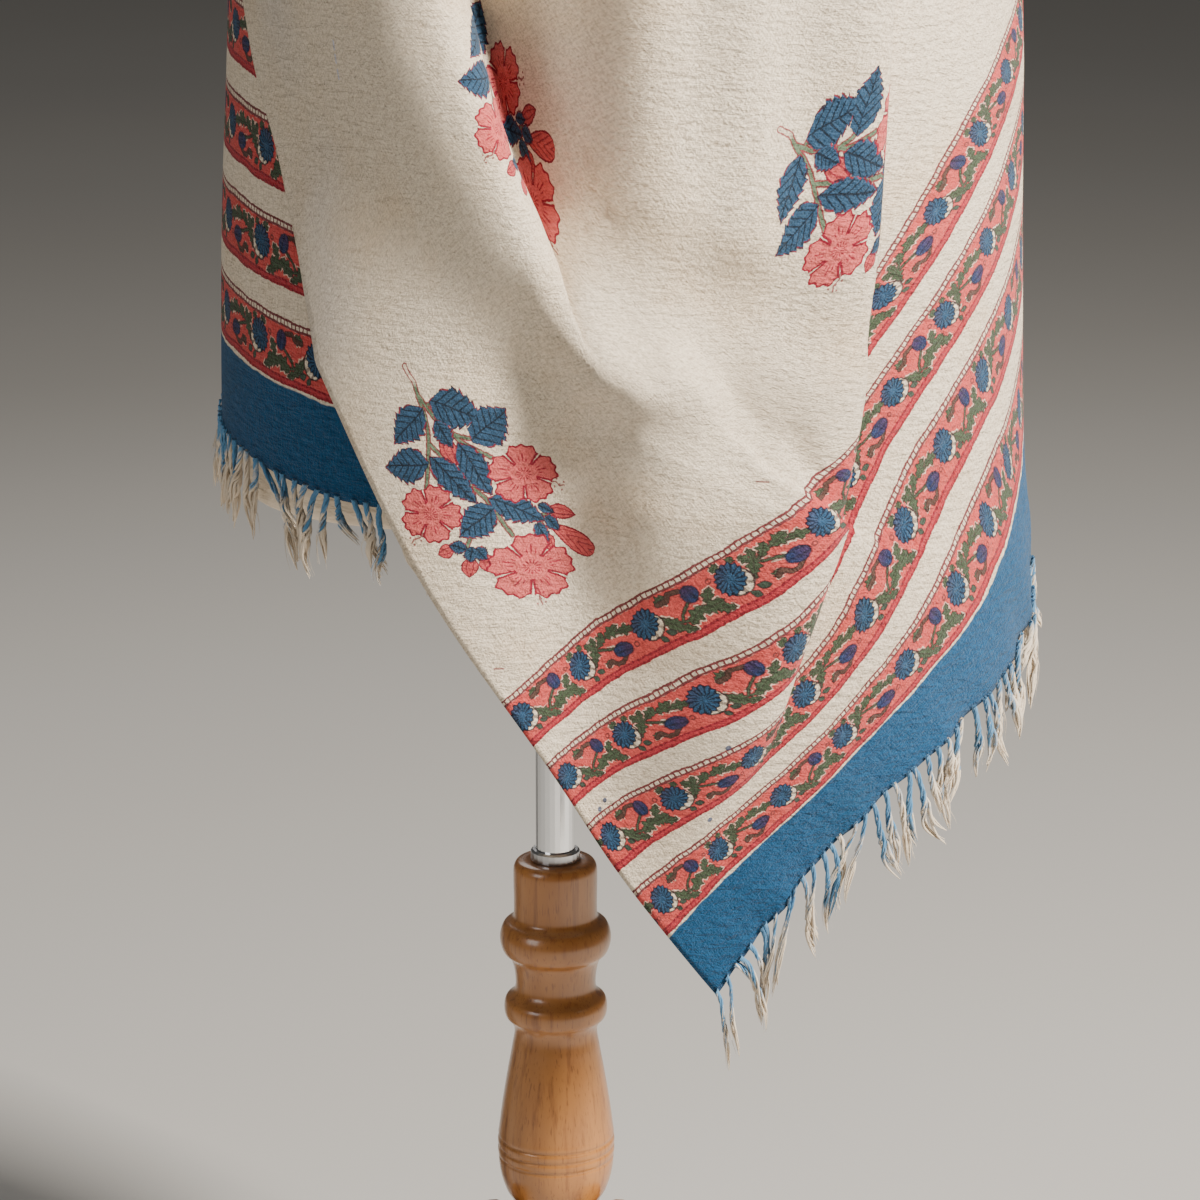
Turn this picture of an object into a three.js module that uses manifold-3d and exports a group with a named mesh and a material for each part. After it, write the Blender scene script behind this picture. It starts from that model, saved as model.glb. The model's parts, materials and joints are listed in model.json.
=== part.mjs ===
// Wool shawl on a limbless dress form with a turned wooden stand.
// Millimetres, +Z up, the wearer's front towards -Y. The stand's pole is the z axis until the
// group is centred on its footprint at the end.
import * as THREE from "three";
import { mergeVertices } from "three/addons/utils/BufferGeometryUtils.js";
import Module from "manifold-3d";

// ---- Driving dimensions -------------------------------------------------------------------
const GAP = 0.3; // clearance between neighbouring pieces
const CLOTH = { width: 716, frontLength: 900, wall: 2.0, stepU: 27, stepV: 27 };
const LAYER = { front: 0, back: -6, under: -12 }; // distance of each wound layer from the drape form
const BACKING = { depth: 4, start: 0.8 }; // strip that carries the fringe, past the cloth's edge
const LOCK = { length: 44, root: 1.7, tip: 0.7, pitch: 10.6, sides: 3, rings: 3 };
const DEVELOPED_RADIUS = 200; // turns millimetres of tucked cloth into degrees round the form
const SEAM_TURN = 0.8; // degrees parting the back stretch from the front one at the shoulder
const UNDER = { right: -22, left: -196, top: 1312, fringeLeft: -140 };
const BACK = { left: -90, right: -282, top: 1440 };
const TUBE = { radius: 12, bottom: 260, top: 699.7 };
const BORE = { radius: 12.1, bottom: 172 };
const COLLAR = { radius: 15, bottom: 467.3, top: 474 };
const LEG = { thickness: 24, inner: 27.4, angles: [-60, 60, 180] };
const NECK_CAP = { radius: 57, bottom: 1440.3, top: 1452 };
const SUPERELLIPSE = 2.3;

// Drape form: one row for each level, measured along the slope (m) and upright (z), with the
// reach to each side.
const DRAPE = {
  columns: ["m", "z", "left", "right", "front", "back"],
  rows: [
    [360, 360, 200, 276, 128, 148],
    [440, 440, 203, 279, 142, 150],
    [520, 520, 205, 282, 153, 152],
    [640, 640, 207, 284, 160, 155],
    [720, 720, 208, 273, 161, 155],
    [860, 860, 205, 267, 160, 155],
    [1000, 1000, 198, 262, 158, 155],
    [1150, 1150, 198, 245, 158, 155],
    [1250, 1250, 202, 222, 148, 146],
    [1310, 1310, 199, 203, 128, 130],
    [1352, 1345, 178, 180, 104, 110],
    [1400, 1374, 140, 141, 86, 92],
    [1450, 1396, 96, 97, 68, 76],
  ],
};

// Lay of the front stretch: for each distance u from the fringed end, the turn (degrees from the
// front centre, tucked cloth included) and the level m, at six even steps across the cloth.
const LAY = {
  stepU: 150,
  turn: [
    [34.7, 55.5, 83.1, 107.1, 134.2, 161.9],
    [3.4, 40.7, 70.1, 95.8, 114.7, 139.2],
    [-24.9, 9.2, 40.6, 63.9, 93.3, 121.3],
    [-46.1, -28.2, 10.6, 41.2, 68.7, 100.7],
    [-70.6, -58.0, -28.4, 1.9, 28.0, 31.0],
    [-83.0, -82.0, -66.0, -48.0, -30.0, -22.0],
    [-103.18, -103.18, -103.18, -103.18, -103.18, -103.18],
  ],
  level: [
    [431, 542, 622, 685, 823, 920],
    [554, 636, 778, 886, 958, 1062],
    [681, 781, 821, 972, 1098, 1208],
    [814, 917, 969, 1067, 1198, 1374],
    [959, 1047, 1102, 1174, 1242, 1306],
    [1112, 1178, 1222, 1262, 1288, 1302],
    [1289, 1328, 1357, 1385, 1412, 1440],
  ],
};

// Lapped folds: turn of the fold at each level, and the cloth tucked under it.
const LAPS = [
  {
    name: "centre lap",
    rows: [[805, 11, 0], [884, 0, 30], [930, -6, 46], [1009, -16, 46], [1150, -32, 46],
      [1300, -52, 46], [1450, -78, 46]],
    height: 13,
  },
  {
    name: "side pleat",
    rows: [[560, 38, 0], [620, 44, 18], [700, 49.5, 32], [790, 53, 46], [900, 56, 46],
      [1004, 58, 46], [1150, 62, 46], [1300, 70, 46], [1450, 80, 46]],
    height: 11,
  },
];

// Soft undulations: a line from (turn, m) to (turn, m), half width in mm, height outwards.
const WAVES = [
  { from: [-6, 1080], to: [14, 850], half: 34, height: -14 },
  { from: [26, 1140], to: [30, 860], half: 34, height: 10 },
  { from: [44, 1100], to: [40, 800], half: 26, height: -8 },
  { from: [10, 800], to: [24, 770], half: 24, height: 12 },
  { from: [8, 745], to: [30, 735], half: 22, height: -7 },
  { from: [-40, 1290], to: [46, 1270], half: 24, height: 9 },
  { from: [-34, 1235], to: [50, 1200], half: 20, height: -7 },
  { from: [96, 700], to: [92, 1100], half: 36, height: 9 },
  { from: [122, 850], to: [108, 1150], half: 30, height: 5 },
];

// Lower edge of the back stretch and of the first (under) end: turn and level.
const BACK_HEM = [[-90, 1289], [-98, 1180], [-110, 1000], [-124, 850], [-142, 745], [-165, 702],
  [-190, 694], [-215, 716], [-240, 800], [-265, 960], [-282, 1130]];
const UNDER_HEM = [[-196, 842], [-160, 806], [-130, 780], [-105, 762], [-85, 750], [-70, 743],
  [-56, 733], [-44, 725], [-33, 722], [-22, 722]];
const BACK_WAVES = [
  { from: [-118, 1330], to: [-128, 880], half: 30, height: 12 },
  { from: [-140, 1380], to: [-150, 780], half: 28, height: -1.5 },
  { from: [-162, 1400], to: [-168, 720], half: 30, height: 11 },
  { from: [-184, 1400], to: [-186, 720], half: 26, height: -2 },
];
const UNDER_WAVES = [
  { from: [-100, 1250], to: [-104, 760], half: 34, height: -3 },
  { from: [-128, 1250], to: [-126, 790], half: 26, height: 1 },
];

// Dress form: level and reach to the side, front and back.
const TORSO = [
  [700, 183, 116, 116], [735, 185, 119, 118], [800, 176, 116, 114], [870, 150, 104, 100],
  [935, 132, 96, 92], [1010, 138, 106, 98], [1090, 154, 124, 106], [1140, 160, 128, 108],
  [1220, 168, 116, 106], [1290, 176, 104, 108], [1330, 160, 86, 92], [1360, 124, 70, 76],
  [1380, 84, 58, 62], [1394, 63, 54, 56], [1440, 56, 52, 52],
];

// Turned column: radius and height of its outline from the top down.
const COLUMN = [
  [20.5, 467], [23.5, 466], [25.3, 463], [25.7, 458], [25.7, 431], [27.5, 428.5], [31.5, 426],
  [33.9, 420], [33.9, 414], [31.8, 408], [28.2, 404.5], [26.0, 399], [24.8, 391], [25.0, 384],
  [27.5, 380], [30.6, 377.5], [31.8, 372], [30.8, 366], [27.6, 362.5], [25.5, 357], [27.0, 346],
  [30.2, 328], [33.4, 308], [35.6, 291], [36.0, 287.6], [35.0, 286.6], [36.1, 285.6],
  [36.2, 281.2], [35.2, 280.2], [36.2, 279.2], [36.0, 274.6], [35.0, 273.6], [35.8, 272.6],
  [34.6, 262], [31.2, 251], [27.0, 243], [27.0, 172], [30.5, 168], [30.5, 160], [24, 154],
  [27.5, 144], [25.5, 132], [17, 124], [8, 121],
];

// Leg outline: distance from the axis and height, clockwise from the top of the inner end.
const LEG_OUTLINE = [
  [27.4, 240], [38, 247], [52, 245], [74, 226], [110, 196], [150, 158], [188, 108], [218, 58],
  [244, 26], [266, 14], [270, 6], [266, 0], [226, 0], [206, 16], [184, 50], [156, 94], [122, 132],
  [86, 160], [54, 176], [27.4, 184],
];

// ---- Small helpers ------------------------------------------------------------------------
const wasm = await Module();
wasm.setup();
const rad = (degrees) => (degrees * Math.PI) / 180;

// Smooth curve through the rows of a table, keyed by its first column.
function along(rows, column, x) {
  const n = rows.length;
  const up = rows[n - 1][0] > rows[0][0];
  const key = (i) => (up ? rows[i][0] : -rows[i][0]);
  const at = Math.min(Math.max(up ? x : -x, key(0)), key(n - 1));
  let i = 0;
  while (i < n - 2 && at > key(i + 1)) i++;
  const slope = (k) => {
    const a = Math.max(k - 1, 0);
    const b = Math.min(k + 1, n - 1);
    return (rows[b][column] - rows[a][column]) / (key(b) - key(a));
  };
  const h = key(i + 1) - key(i);
  const t = (at - key(i)) / h;
  const t2 = t * t;
  const t3 = t2 * t;
  return (
    rows[i][column] * (2 * t3 - 3 * t2 + 1) + slope(i) * h * (t3 - 2 * t2 + t) +
    rows[i + 1][column] * (3 * t2 - 2 * t3) + slope(i + 1) * h * (t3 - t2)
  );
}

// Weights of the four even stations about x; ends carry on straight.
function stations(x, step, count) {
  const s = x / step;
  const i = Math.min(Math.max(Math.floor(s), 0), count - 2);
  const f = s - i;
  if (f < 0 || f > 1) return [[i, 1 - f], [i + 1, f]];
  const w = [
    (-f + 2 * f * f - f ** 3) / 2, (2 - 5 * f * f + 3 * f ** 3) / 2,
    (f + 4 * f * f - 3 * f ** 3) / 2, (-f * f + f ** 3) / 2,
  ];
  const out = [];
  w.forEach((wk, k) => {
    const j = i + k - 1;
    if (j < 0) out.push([0, 2 * wk], [1, -wk]);
    else if (j > count - 1) out.push([count - 1, 2 * wk], [count - 2, -wk]);
    else out.push([j, wk]);
  });
  return out;
}

const tableAt = (table, u, v) => {
  let sum = 0;
  const across = stations(v, CLOTH.width / (table[0].length - 1), table[0].length);
  for (const [i, wi] of stations(u, LAY.stepU, table.length))
    for (const [j, wj] of across) sum += wi * wj * table[i][j];
  return sum;
};

// Point of the drape form at a turn and level, moved out by off.
function drapePoint(turn, m, off) {
  const [z, left, right, front, back] = [1, 2, 3, 4, 5].map((c) => along(DRAPE.rows, c, m));
  const s = Math.sin(rad(turn));
  const c = Math.cos(rad(turn));
  const toRight = 0.5 + 0.5 * Math.tanh(s / 0.06);
  const toFront = 0.5 + 0.5 * Math.tanh(c / 0.06);
  const a = left * (1 - toRight) + right * toRight;
  const d = back * (1 - toFront) + front * toFront;
  const k = ((Math.abs(s) / a) ** SUPERELLIPSE + (Math.abs(c) / d) ** SUPERELLIPSE) **
    (-1 / SUPERELLIPSE);
  const over = Math.min(Math.max((m - 1290) / 120, 0), 0.8); // shoulders slope: out is also up
  return new THREE.Vector3((k + off * (1 - over * 0.5)) * s, -(k + off * (1 - over * 0.5)) * c,
    z + off * over);
}

// Height of a list of soft undulations at a turn and level.
function waveHeight(waves, turn, m) {
  let height = 0;
  for (const { from, to, half, height: peak } of waves) {
    const px = ((turn - from[0]) * Math.PI * DEVELOPED_RADIUS) / 180;
    const dx = ((to[0] - from[0]) * Math.PI * DEVELOPED_RADIUS) / 180;
    const dy = to[1] - from[1];
    const t = (px * dx + (m - from[1]) * dy) / (dx * dx + dy * dy);
    const c = Math.min(Math.max(t, 0), 1);
    const d = Math.hypot(px - c * dx, m - from[1] - c * dy);
    height += peak * Math.exp(-((d / half) ** 2));
  }
  return height;
}

// Front stretch: turn after the tucks are taken in, and height of the laps.
function frontPoint(u, v, off) {
  const lay = tableAt(LAY.turn, u, v);
  const m = tableAt(LAY.level, u, v);
  let turn = lay;
  let height = 0;
  LAPS.forEach(({ rows, height: peak }, k) => {
    const fold = along(rows, 1, m);
    const tuck = along(rows, 2, m);
    const degrees = (tuck / DEVELOPED_RADIUS / Math.PI) * 180;
    const side = k === 0 ? -1 : 1; // the centre panel stays, cloth beyond each lap moves in
    const past = 1 / (1 + Math.exp(-(lay - fold - (side * degrees) / 2) / 4.5));
    turn += k === 0 ? degrees * (1 - past) : -degrees * past;
    const across = lay - fold - (side * degrees) / 2;
    const rise = across < 0 ? Math.exp(-((across / 16) ** 2)) : Math.exp(-((across / 4) ** 2));
    height += (peak * tuck) / 46 * rise;
  });
  return drapePoint(turn, m, off + height + waveHeight(WAVES, turn, m));
}

// A wall of cloth: a grid of outer points, and the same moved in by the wall along the normals.
function wallGeometry(rows, columns, pointAt, wall = CLOTH.wall) {
  const outer = [];
  for (let i = 0; i <= rows; i++)
    for (let j = 0; j <= columns; j++) outer.push(pointAt(i / rows, j / columns));
  const at = (i, j) => i * (columns + 1) + j;
  const inner = outer.map((p, n) => {
    const i = Math.floor(n / (columns + 1));
    const j = n % (columns + 1);
    const du = outer[at(Math.min(i + 1, rows), j)].clone().sub(outer[at(Math.max(i - 1, 0), j)]);
    const dv = outer[at(i, Math.min(j + 1, columns))].clone().sub(outer[at(i, Math.max(j - 1, 0))]);
    const out = dv.cross(du).normalize();
    return p.clone().addScaledVector(out, -wall);
  });
  const count = outer.length;
  const index = [];
  const quad = (a, b, c, d) => index.push(a, b, c, a, c, d);
  for (let i = 0; i < rows; i++)
    for (let j = 0; j < columns; j++) {
      const [a, b, c, d] = [at(i, j), at(i, j + 1), at(i + 1, j + 1), at(i + 1, j)];
      quad(a, b, c, d);
      quad(count + a, count + d, count + c, count + b);
    }
  const edge = (a, b) => quad(b, a, count + a, count + b);
  for (let j = 0; j < columns; j++) {
    edge(at(0, j), at(0, j + 1));
    edge(at(rows, j + 1), at(rows, j));
  }
  for (let i = 0; i < rows; i++) {
    edge(at(i + 1, 0), at(i, 0));
    edge(at(i, columns), at(i + 1, columns));
  }
  const geometry = new THREE.BufferGeometry().setFromPoints([...outer, ...inner]);
  geometry.setIndex(index);
  geometry.computeVertexNormals();
  return geometry;
}

// Closed stack of rings with flat ends.
function ringStack(rings) {
  const n = rings[0].length;
  const points = rings.flat();
  const index = [];
  for (let r = 0; r < rings.length - 1; r++)
    for (let k = 0; k < n; k++) {
      const [a, b] = [r * n + k, r * n + ((k + 1) % n)];
      index.push(a, b, b + n, a, b + n, a + n);
    }
  for (let k = 1; k < n - 1; k++) {
    index.push(0, k + 1, k);
    const top = (rings.length - 1) * n;
    index.push(top, top + k, top + k + 1);
  }
  const geometry = new THREE.BufferGeometry().setFromPoints(points);
  geometry.setIndex(index);
  geometry.computeVertexNormals();
  return geometry;
}

const toSolid = (geometry) => {
  const bare = geometry.clone();
  bare.deleteAttribute("normal");
  bare.deleteAttribute("uv");
  const merged = mergeVertices(bare, 1e-4);
  return new wasm.Manifold(new wasm.Mesh({
    numProp: 3,
    vertProperties: new Float32Array(merged.attributes.position.array),
    triVerts: new Uint32Array(merged.index.array),
  }));
};

const fromSolid = (solid) => {
  const made = solid.getMesh();
  const geometry = new THREE.BufferGeometry();
  geometry.setAttribute("position", new THREE.BufferAttribute(made.vertProperties, 3));
  geometry.setIndex(new THREE.BufferAttribute(made.triVerts, 1));
  geometry.computeVertexNormals();
  return geometry;
};

const part = new THREE.Group();
const place = (name, geometry, colour, roughness, metalness = 0) => {
  const mesh = new THREE.Mesh(
    geometry, new THREE.MeshStandardMaterial({ color: colour, roughness, metalness }));
  mesh.name = name;
  part.add(mesh);
  return mesh;
};

// ---- Cloth --------------------------------------------------------------------------------
const rowsU = Math.round(CLOTH.frontLength / CLOTH.stepU);
const columnsV = Math.round(CLOTH.width / CLOTH.stepV);
place("shawl_front", wallGeometry(rowsU, columnsV,
  (s, t) => frontPoint(s * CLOTH.frontLength, t * CLOTH.width, LAYER.front)), 0xd6c8b4, 0.95);

// Back stretch: level with the front stretch at the left shoulder, then one layer lower.
function backPoint(s, t) {
  const turn = BACK.left - SEAM_TURN + (BACK.right - BACK.left) * s;
  const hem = along(BACK_HEM, 1, turn);
  const m = hem + (BACK.top - hem) * t;
  const settle = Math.min((BACK.left - turn) / 30, 1);
  const fade = Math.min(1, (BACK.left - turn) / 12);
  return drapePoint(turn, m, LAYER.back * settle + fade * waveHeight(BACK_WAVES, turn, m));
}
place("shawl_back", wallGeometry(20, 18, backPoint), 0xd6c8b4, 0.95);

// First end, which hangs at the left side beneath the others.
function underPoint(s, t) {
  const turn = UNDER.left + (UNDER.right - UNDER.left) * t;
  const hem = along(UNDER_HEM, 1, turn);
  const m = hem + (UNDER.top - hem) * s;
  return drapePoint(turn, m, LAYER.under + waveHeight(UNDER_WAVES, turn, m));
}
place("shawl_under_end", wallGeometry(14, 18, underPoint), 0xd6c8b4, 0.95);

// ---- Fringe -------------------------------------------------------------------------------
// One lock: a tapering twisted prism from its root, hanging down with a little lean and curl.
function lock(root, out, side, number, leanShare) {
  const sway = Math.sin(number * 2.399) * 0.06;
  const lean = leanShare * (0.1 + 0.05 * Math.sin(number * 1.7));
  const length = LOCK.length * (0.9 + 0.14 * Math.sin(number * 3.1));
  const rings = [];
  for (let r = 0; r < LOCK.rings; r++) {
    const f = r / (LOCK.rings - 1);
    const centre = root.clone()
      .addScaledVector(out, length * lean * f * (1 - 0.4 * f))
      .addScaledVector(side, length * sway * f * f);
    centre.z -= length * f;
    const radius = LOCK.root + (LOCK.tip - LOCK.root) * f;
    const ring = [];
    for (let k = 0; k < LOCK.sides; k++) {
      const a = (k / LOCK.sides) * 2 * Math.PI + number + f;
      ring.push(new THREE.Vector3(centre.x + radius * Math.cos(a),
        centre.y + radius * Math.sin(a), centre.z));
    }
    rings.push(ring);
  }
  return ringStack(rings.reverse());
}

// Fringe along an edge: edgeAt(s, beyond) is the point a distance beyond the edge.
function fringeGeometry(edgeAt, length, segments, leanAt) {
  const strip = wallGeometry(1, segments,
    (s, t) => edgeAt(t, BACKING.start + (1 - s) * BACKING.depth), CLOTH.wall);
  let solid = toSolid(strip);
  const count = Math.round(length / LOCK.pitch);
  for (let n = 0; n < count; n++) {
    const t = (n + 0.5) / count;
    const root = edgeAt(t, BACKING.start + BACKING.depth - 1.6);
    const near = edgeAt(t + 0.002, BACKING.start + BACKING.depth - 1.6);
    const side = near.clone().sub(root).setZ(0).normalize();
    const out = new THREE.Vector3(root.x, root.y, 0).normalize();
    root.addScaledVector(out, -CLOTH.wall / 2);
    solid = solid.add(toSolid(lock(root, out, side, n, leanAt(t))));
  }
  return fromSolid(solid);
}

place("fringe_front", fringeGeometry(
  (t, beyond) => frontPoint(-beyond, 4 + t * (CLOTH.width - 8), LAYER.front),
  CLOTH.width, 24, () => 1), 0xb9c2c8, 0.95);

const underEdge = (t, beyond) => {
  const turn = UNDER.fringeLeft + (UNDER.right - UNDER.fringeLeft) * t;
  const hem = along(UNDER_HEM, 1, turn);
  return drapePoint(turn, hem - beyond, LAYER.under + waveHeight(UNDER_WAVES, turn, hem));
};
const tuckedLean = (t) => Math.min(Math.max((t - 0.3) / 0.15, -0.2), 1);
place("fringe_under", fringeGeometry(underEdge, 400, 16, tuckedLean), 0xb9c2c8, 0.95);

// ---- Dress form ---------------------------------------------------------------------------
const TORSO_SIDES = 30;
const torsoRings = [];
for (let z = TORSO[0][0]; z <= 1440.01; z += 37) {
  const [side, front, back] = [1, 2, 3].map((c) => along(TORSO, c, z));
  torsoRings.push(Array.from({ length: TORSO_SIDES }, (_, k) => {
    const a = (k / TORSO_SIDES) * 2 * Math.PI;
    const [s, c] = [Math.cos(a), Math.sin(a)];
    const d = c > 0 ? back : front;
    const reach = ((Math.abs(s) / side) ** 2.2 + (Math.abs(c) / d) ** 2.2) ** (-1 / 2.2);
    return new THREE.Vector3(reach * s, reach * c, z);
  }));
}
place("form_torso", ringStack(torsoRings), 0xd9cfbd, 0.9);

const lathe = (profile, segments = 24) => {
  const geometry = new THREE.LatheGeometry(
    profile.map(([r, z]) => new THREE.Vector2(r, z)), segments);
  return geometry.rotateX(Math.PI / 2);
};
place("neck_cap", lathe([[0, NECK_CAP.bottom], [NECK_CAP.radius - 1, NECK_CAP.bottom],
  [NECK_CAP.radius, NECK_CAP.bottom + 2], [NECK_CAP.radius, NECK_CAP.top - 4],
  [NECK_CAP.radius - 4, NECK_CAP.top], [0, NECK_CAP.top + 3]]), 0xa8713f, 0.35);

// ---- Pole and stand -----------------------------------------------------------------------
place("pole_tube", lathe([[0, TUBE.bottom], [TUBE.radius, TUBE.bottom],
  [TUBE.radius, TUBE.top], [0, TUBE.top]]), 0xc9ccd0, 0.15, 1);
place("pole_collar", lathe([[BORE.radius, COLLAR.bottom], [COLLAR.radius, COLLAR.bottom],
  [COLLAR.radius, COLLAR.top - 1.2], [COLLAR.radius - 1.2, COLLAR.top],
  [BORE.radius, COLLAR.top], [BORE.radius, COLLAR.bottom]]), 0x9a9da2, 0.2, 1);

const outline = [...COLUMN].reverse();
place("stand_column", lathe([[0, outline[0][1]], ...outline, [BORE.radius, COLUMN[0][1]],
  [BORE.radius, BORE.bottom], [0, BORE.bottom]]), 0xb67a43, 0.3);

const legShape = new THREE.Shape(LEG_OUTLINE.map(([r, z]) => new THREE.Vector2(r, z)));
LEG.angles.forEach((angle, k) => {
  const geometry = new THREE.ExtrudeGeometry(legShape,
    { depth: LEG.thickness, bevelEnabled: false });
  geometry.translate(0, 0, -LEG.thickness / 2);
  geometry.rotateX(Math.PI / 2);
  geometry.rotateZ(rad(angle - 90));
  place(`leg_${["left", "right", "rear"][k]}`, geometry, 0xb67a43, 0.35);
});

// ---- Footprint centred on the origin --------------------------------------------------------
part.updateMatrixWorld(true);
const box = new THREE.Box3().setFromObject(part, true);
part.position.set(-(box.min.x + box.max.x) / 2, -(box.min.y + box.max.y) / 2, -box.min.z);

export default part;
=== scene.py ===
"""A block-printed wool shawl on a limbless dress form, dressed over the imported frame."""

import json
import logging
import math
from dataclasses import dataclass
from enum import Enum

import bpy
import numpy as np
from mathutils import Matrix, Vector

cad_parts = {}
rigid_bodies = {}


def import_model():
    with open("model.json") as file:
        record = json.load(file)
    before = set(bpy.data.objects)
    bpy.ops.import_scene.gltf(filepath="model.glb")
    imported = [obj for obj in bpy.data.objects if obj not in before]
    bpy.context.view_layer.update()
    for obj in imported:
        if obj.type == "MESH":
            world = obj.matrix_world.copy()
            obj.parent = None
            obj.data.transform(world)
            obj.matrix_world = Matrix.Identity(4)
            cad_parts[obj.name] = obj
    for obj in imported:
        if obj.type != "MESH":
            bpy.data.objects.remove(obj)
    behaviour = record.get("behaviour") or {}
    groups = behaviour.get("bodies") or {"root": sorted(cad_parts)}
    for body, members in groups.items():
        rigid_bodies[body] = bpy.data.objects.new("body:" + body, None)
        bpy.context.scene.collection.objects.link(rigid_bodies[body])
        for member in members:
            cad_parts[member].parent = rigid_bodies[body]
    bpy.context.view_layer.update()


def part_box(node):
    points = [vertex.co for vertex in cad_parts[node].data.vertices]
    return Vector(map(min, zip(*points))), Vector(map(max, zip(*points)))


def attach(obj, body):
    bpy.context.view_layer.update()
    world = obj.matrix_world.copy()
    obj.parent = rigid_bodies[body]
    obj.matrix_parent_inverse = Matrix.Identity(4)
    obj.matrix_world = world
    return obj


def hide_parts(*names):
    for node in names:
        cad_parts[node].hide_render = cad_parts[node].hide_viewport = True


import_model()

logging.basicConfig(level=logging.INFO, format="%(message)s")
LOG = logging.getLogger("shawl")

MM = 0.001

# The cloth, in mm: its width, the front stretch, its top levels, the rise of the first end for
# each mm along it, and how deep each layer lies.
CLOTH_WIDTH = 716.0
FRONT_LENGTH = 900.0
CLOTH_TOP = 1440
UNDER_TOP = 1312
UNDER_RISE = 1.16
LAYER_BACK = -6.0
LAYER_UNDER = -12.0

# Turns where the stretches start and end, in degrees from the front; where the first end's
# hidden edge would lie; and the turns in which the back sinks to its depth and takes up waves.
BACK_START, BACK_END = -90, -282
UNDER_START, UNDER_END = -196, -22
UNDER_EDGE = 10
UNDER_FRINGE_START = -166
SEAM_TURN = 0.35
BACK_SETTLE = 30
BACK_FADE = 12

# Points along a fringed edge, and how far up the cloth its way is measured, in mm.
EDGE_POINTS = 240
INLAND = 8

# One degree of turn is this many mm of cloth, on a form taken as 200 mm in radius.
ARC = math.radians(200.0)

# Cross-section of the drape form, and where it starts to slope in over the shoulders, in mm.
SUPERELLIPSE = 2.3
QUADRANT_BLEND = 0.06
SHOULDER_LEVEL = 1290
SHOULDER_RUN = 120
SHOULDER_LIFT = 0.8

# Drape form: level along the slope, upright height, reach to the left, right, front and back.
DRAPE_ROWS = np.array([
    [360, 360, 200, 276, 128, 148],
    [440, 440, 203, 279, 142, 150],
    [520, 520, 205, 282, 153, 152],
    [640, 640, 207, 284, 160, 155],
    [720, 720, 208, 273, 161, 155],
    [860, 860, 205, 267, 160, 155],
    [1000, 1000, 198, 262, 158, 155],
    [1150, 1150, 198, 245, 158, 155],
    [1250, 1250, 202, 222, 148, 146],
    [1310, 1310, 199, 203, 128, 130],
    [1352, 1345, 178, 180, 104, 110],
    [1400, 1374, 140, 141, 86, 92],
    [1450, 1396, 96, 97, 68, 76],
], float)

# Lay of the front stretch: a row every 150 mm from the fringed end, six even columns across.
LAY_STEP = 150.0
LAY_TURN = np.array([
    [34.7, 55.5, 83.1, 107.1, 134.2, 161.9],
    [3.4, 40.7, 70.1, 95.8, 114.7, 139.2],
    [-24.9, 9.2, 40.6, 63.9, 93.3, 121.3],
    [-46.1, -28.2, 10.6, 41.2, 68.7, 100.7],
    [-70.6, -58.0, -28.4, 1.9, 28.0, 31.0],
    [-83.0, -82.0, -66.0, -48.0, -30.0, -22.0],
    [-103.18, -103.18, -103.18, -103.18, -103.18, -103.18],
])
LAY_LEVEL = np.array([
    [431, 542, 622, 685, 823, 920],
    [554, 636, 778, 886, 958, 1062],
    [681, 781, 821, 972, 1098, 1208],
    [814, 917, 969, 1067, 1198, 1374],
    [959, 1047, 1102, 1174, 1242, 1306],
    [1112, 1178, 1222, 1262, 1288, 1302],
    [1289, 1328, 1357, 1385, 1412, 1440],
], float)


@dataclass(frozen=True)
class Lap:
    """A fold where the cloth on its left lies over the cloth on its right.

    Args:
        rows: level, turn of the seen edge, hidden cloth and rise in mm, lowest first.
        left_share: share of the hidden cloth that is drawn from the left.
        spread: how far the rise dies away on the left, in mm.
        droop: how far from its edge the top layer starts to round over, in mm.
    """

    rows: tuple
    left_share: float
    spread: float
    droop: float


@dataclass(frozen=True)
class Crest:
    """A ridge through (turn, level, height) points, with its own slope on each side.

    Args:
        points: its line, from one end to the other.
        right: how wide it is on the right of its direction, in mm.
        left: how wide it is on the left.
        power: 2 for a rounded right side, 1 for one that falls away at once.
    """

    points: tuple
    right: float
    left: float
    power: float = 2.0


@dataclass(frozen=True)
class Wave:
    """A soft trough or ridge from one (turn, level) to another, in degrees and mm."""

    start: tuple
    end: tuple
    half: float
    height: float


CENTRE_LAP = Lap(
    rows=((805, 9.0, 0, 0), (843, 4.0, 26, 12), (865, 1.8, 42, 19), (887, -1.3, 56, 23),
          (924, -6.7, 74, 26), (969, -12.2, 77, 25), (1010, -17.0, 77, 21),
          (1150, -33, 62, 12), (1230, -43, 24, 8), (1290, -50, 0, 0), (1450, -70, 0, 0)),
    left_share=0.6, spread=62.0, droop=26.0)
SIDE_PLEAT = Lap(
    rows=((500, 30, 0, 0), (547, 34.4, 0, 6), (594, 40, 6, 12), (650, 43.8, 14, 16),
          (700, 46.6, 26, 18), (751, 48.9, 38, 19), (823, 51.3, 46, 19),
          (921, 52.9, 46, 19), (1004, 54.6, 46, 18), (1150, 60, 46, 14),
          (1300, 68, 46, 10), (1450, 78, 46, 8)),
    left_share=0.0, spread=32.0, droop=18.0)
LIP = Crest(
    points=((-0.3, 887, 0), (4.1, 843, 9), (6.8, 821, 17), (9.8, 808, 22), (14.8, 800, 22),
            (19.6, 799, 18), (24.9, 794, 11), (33.0, 793, 0)),
    right=24.0, left=21.0)

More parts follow.
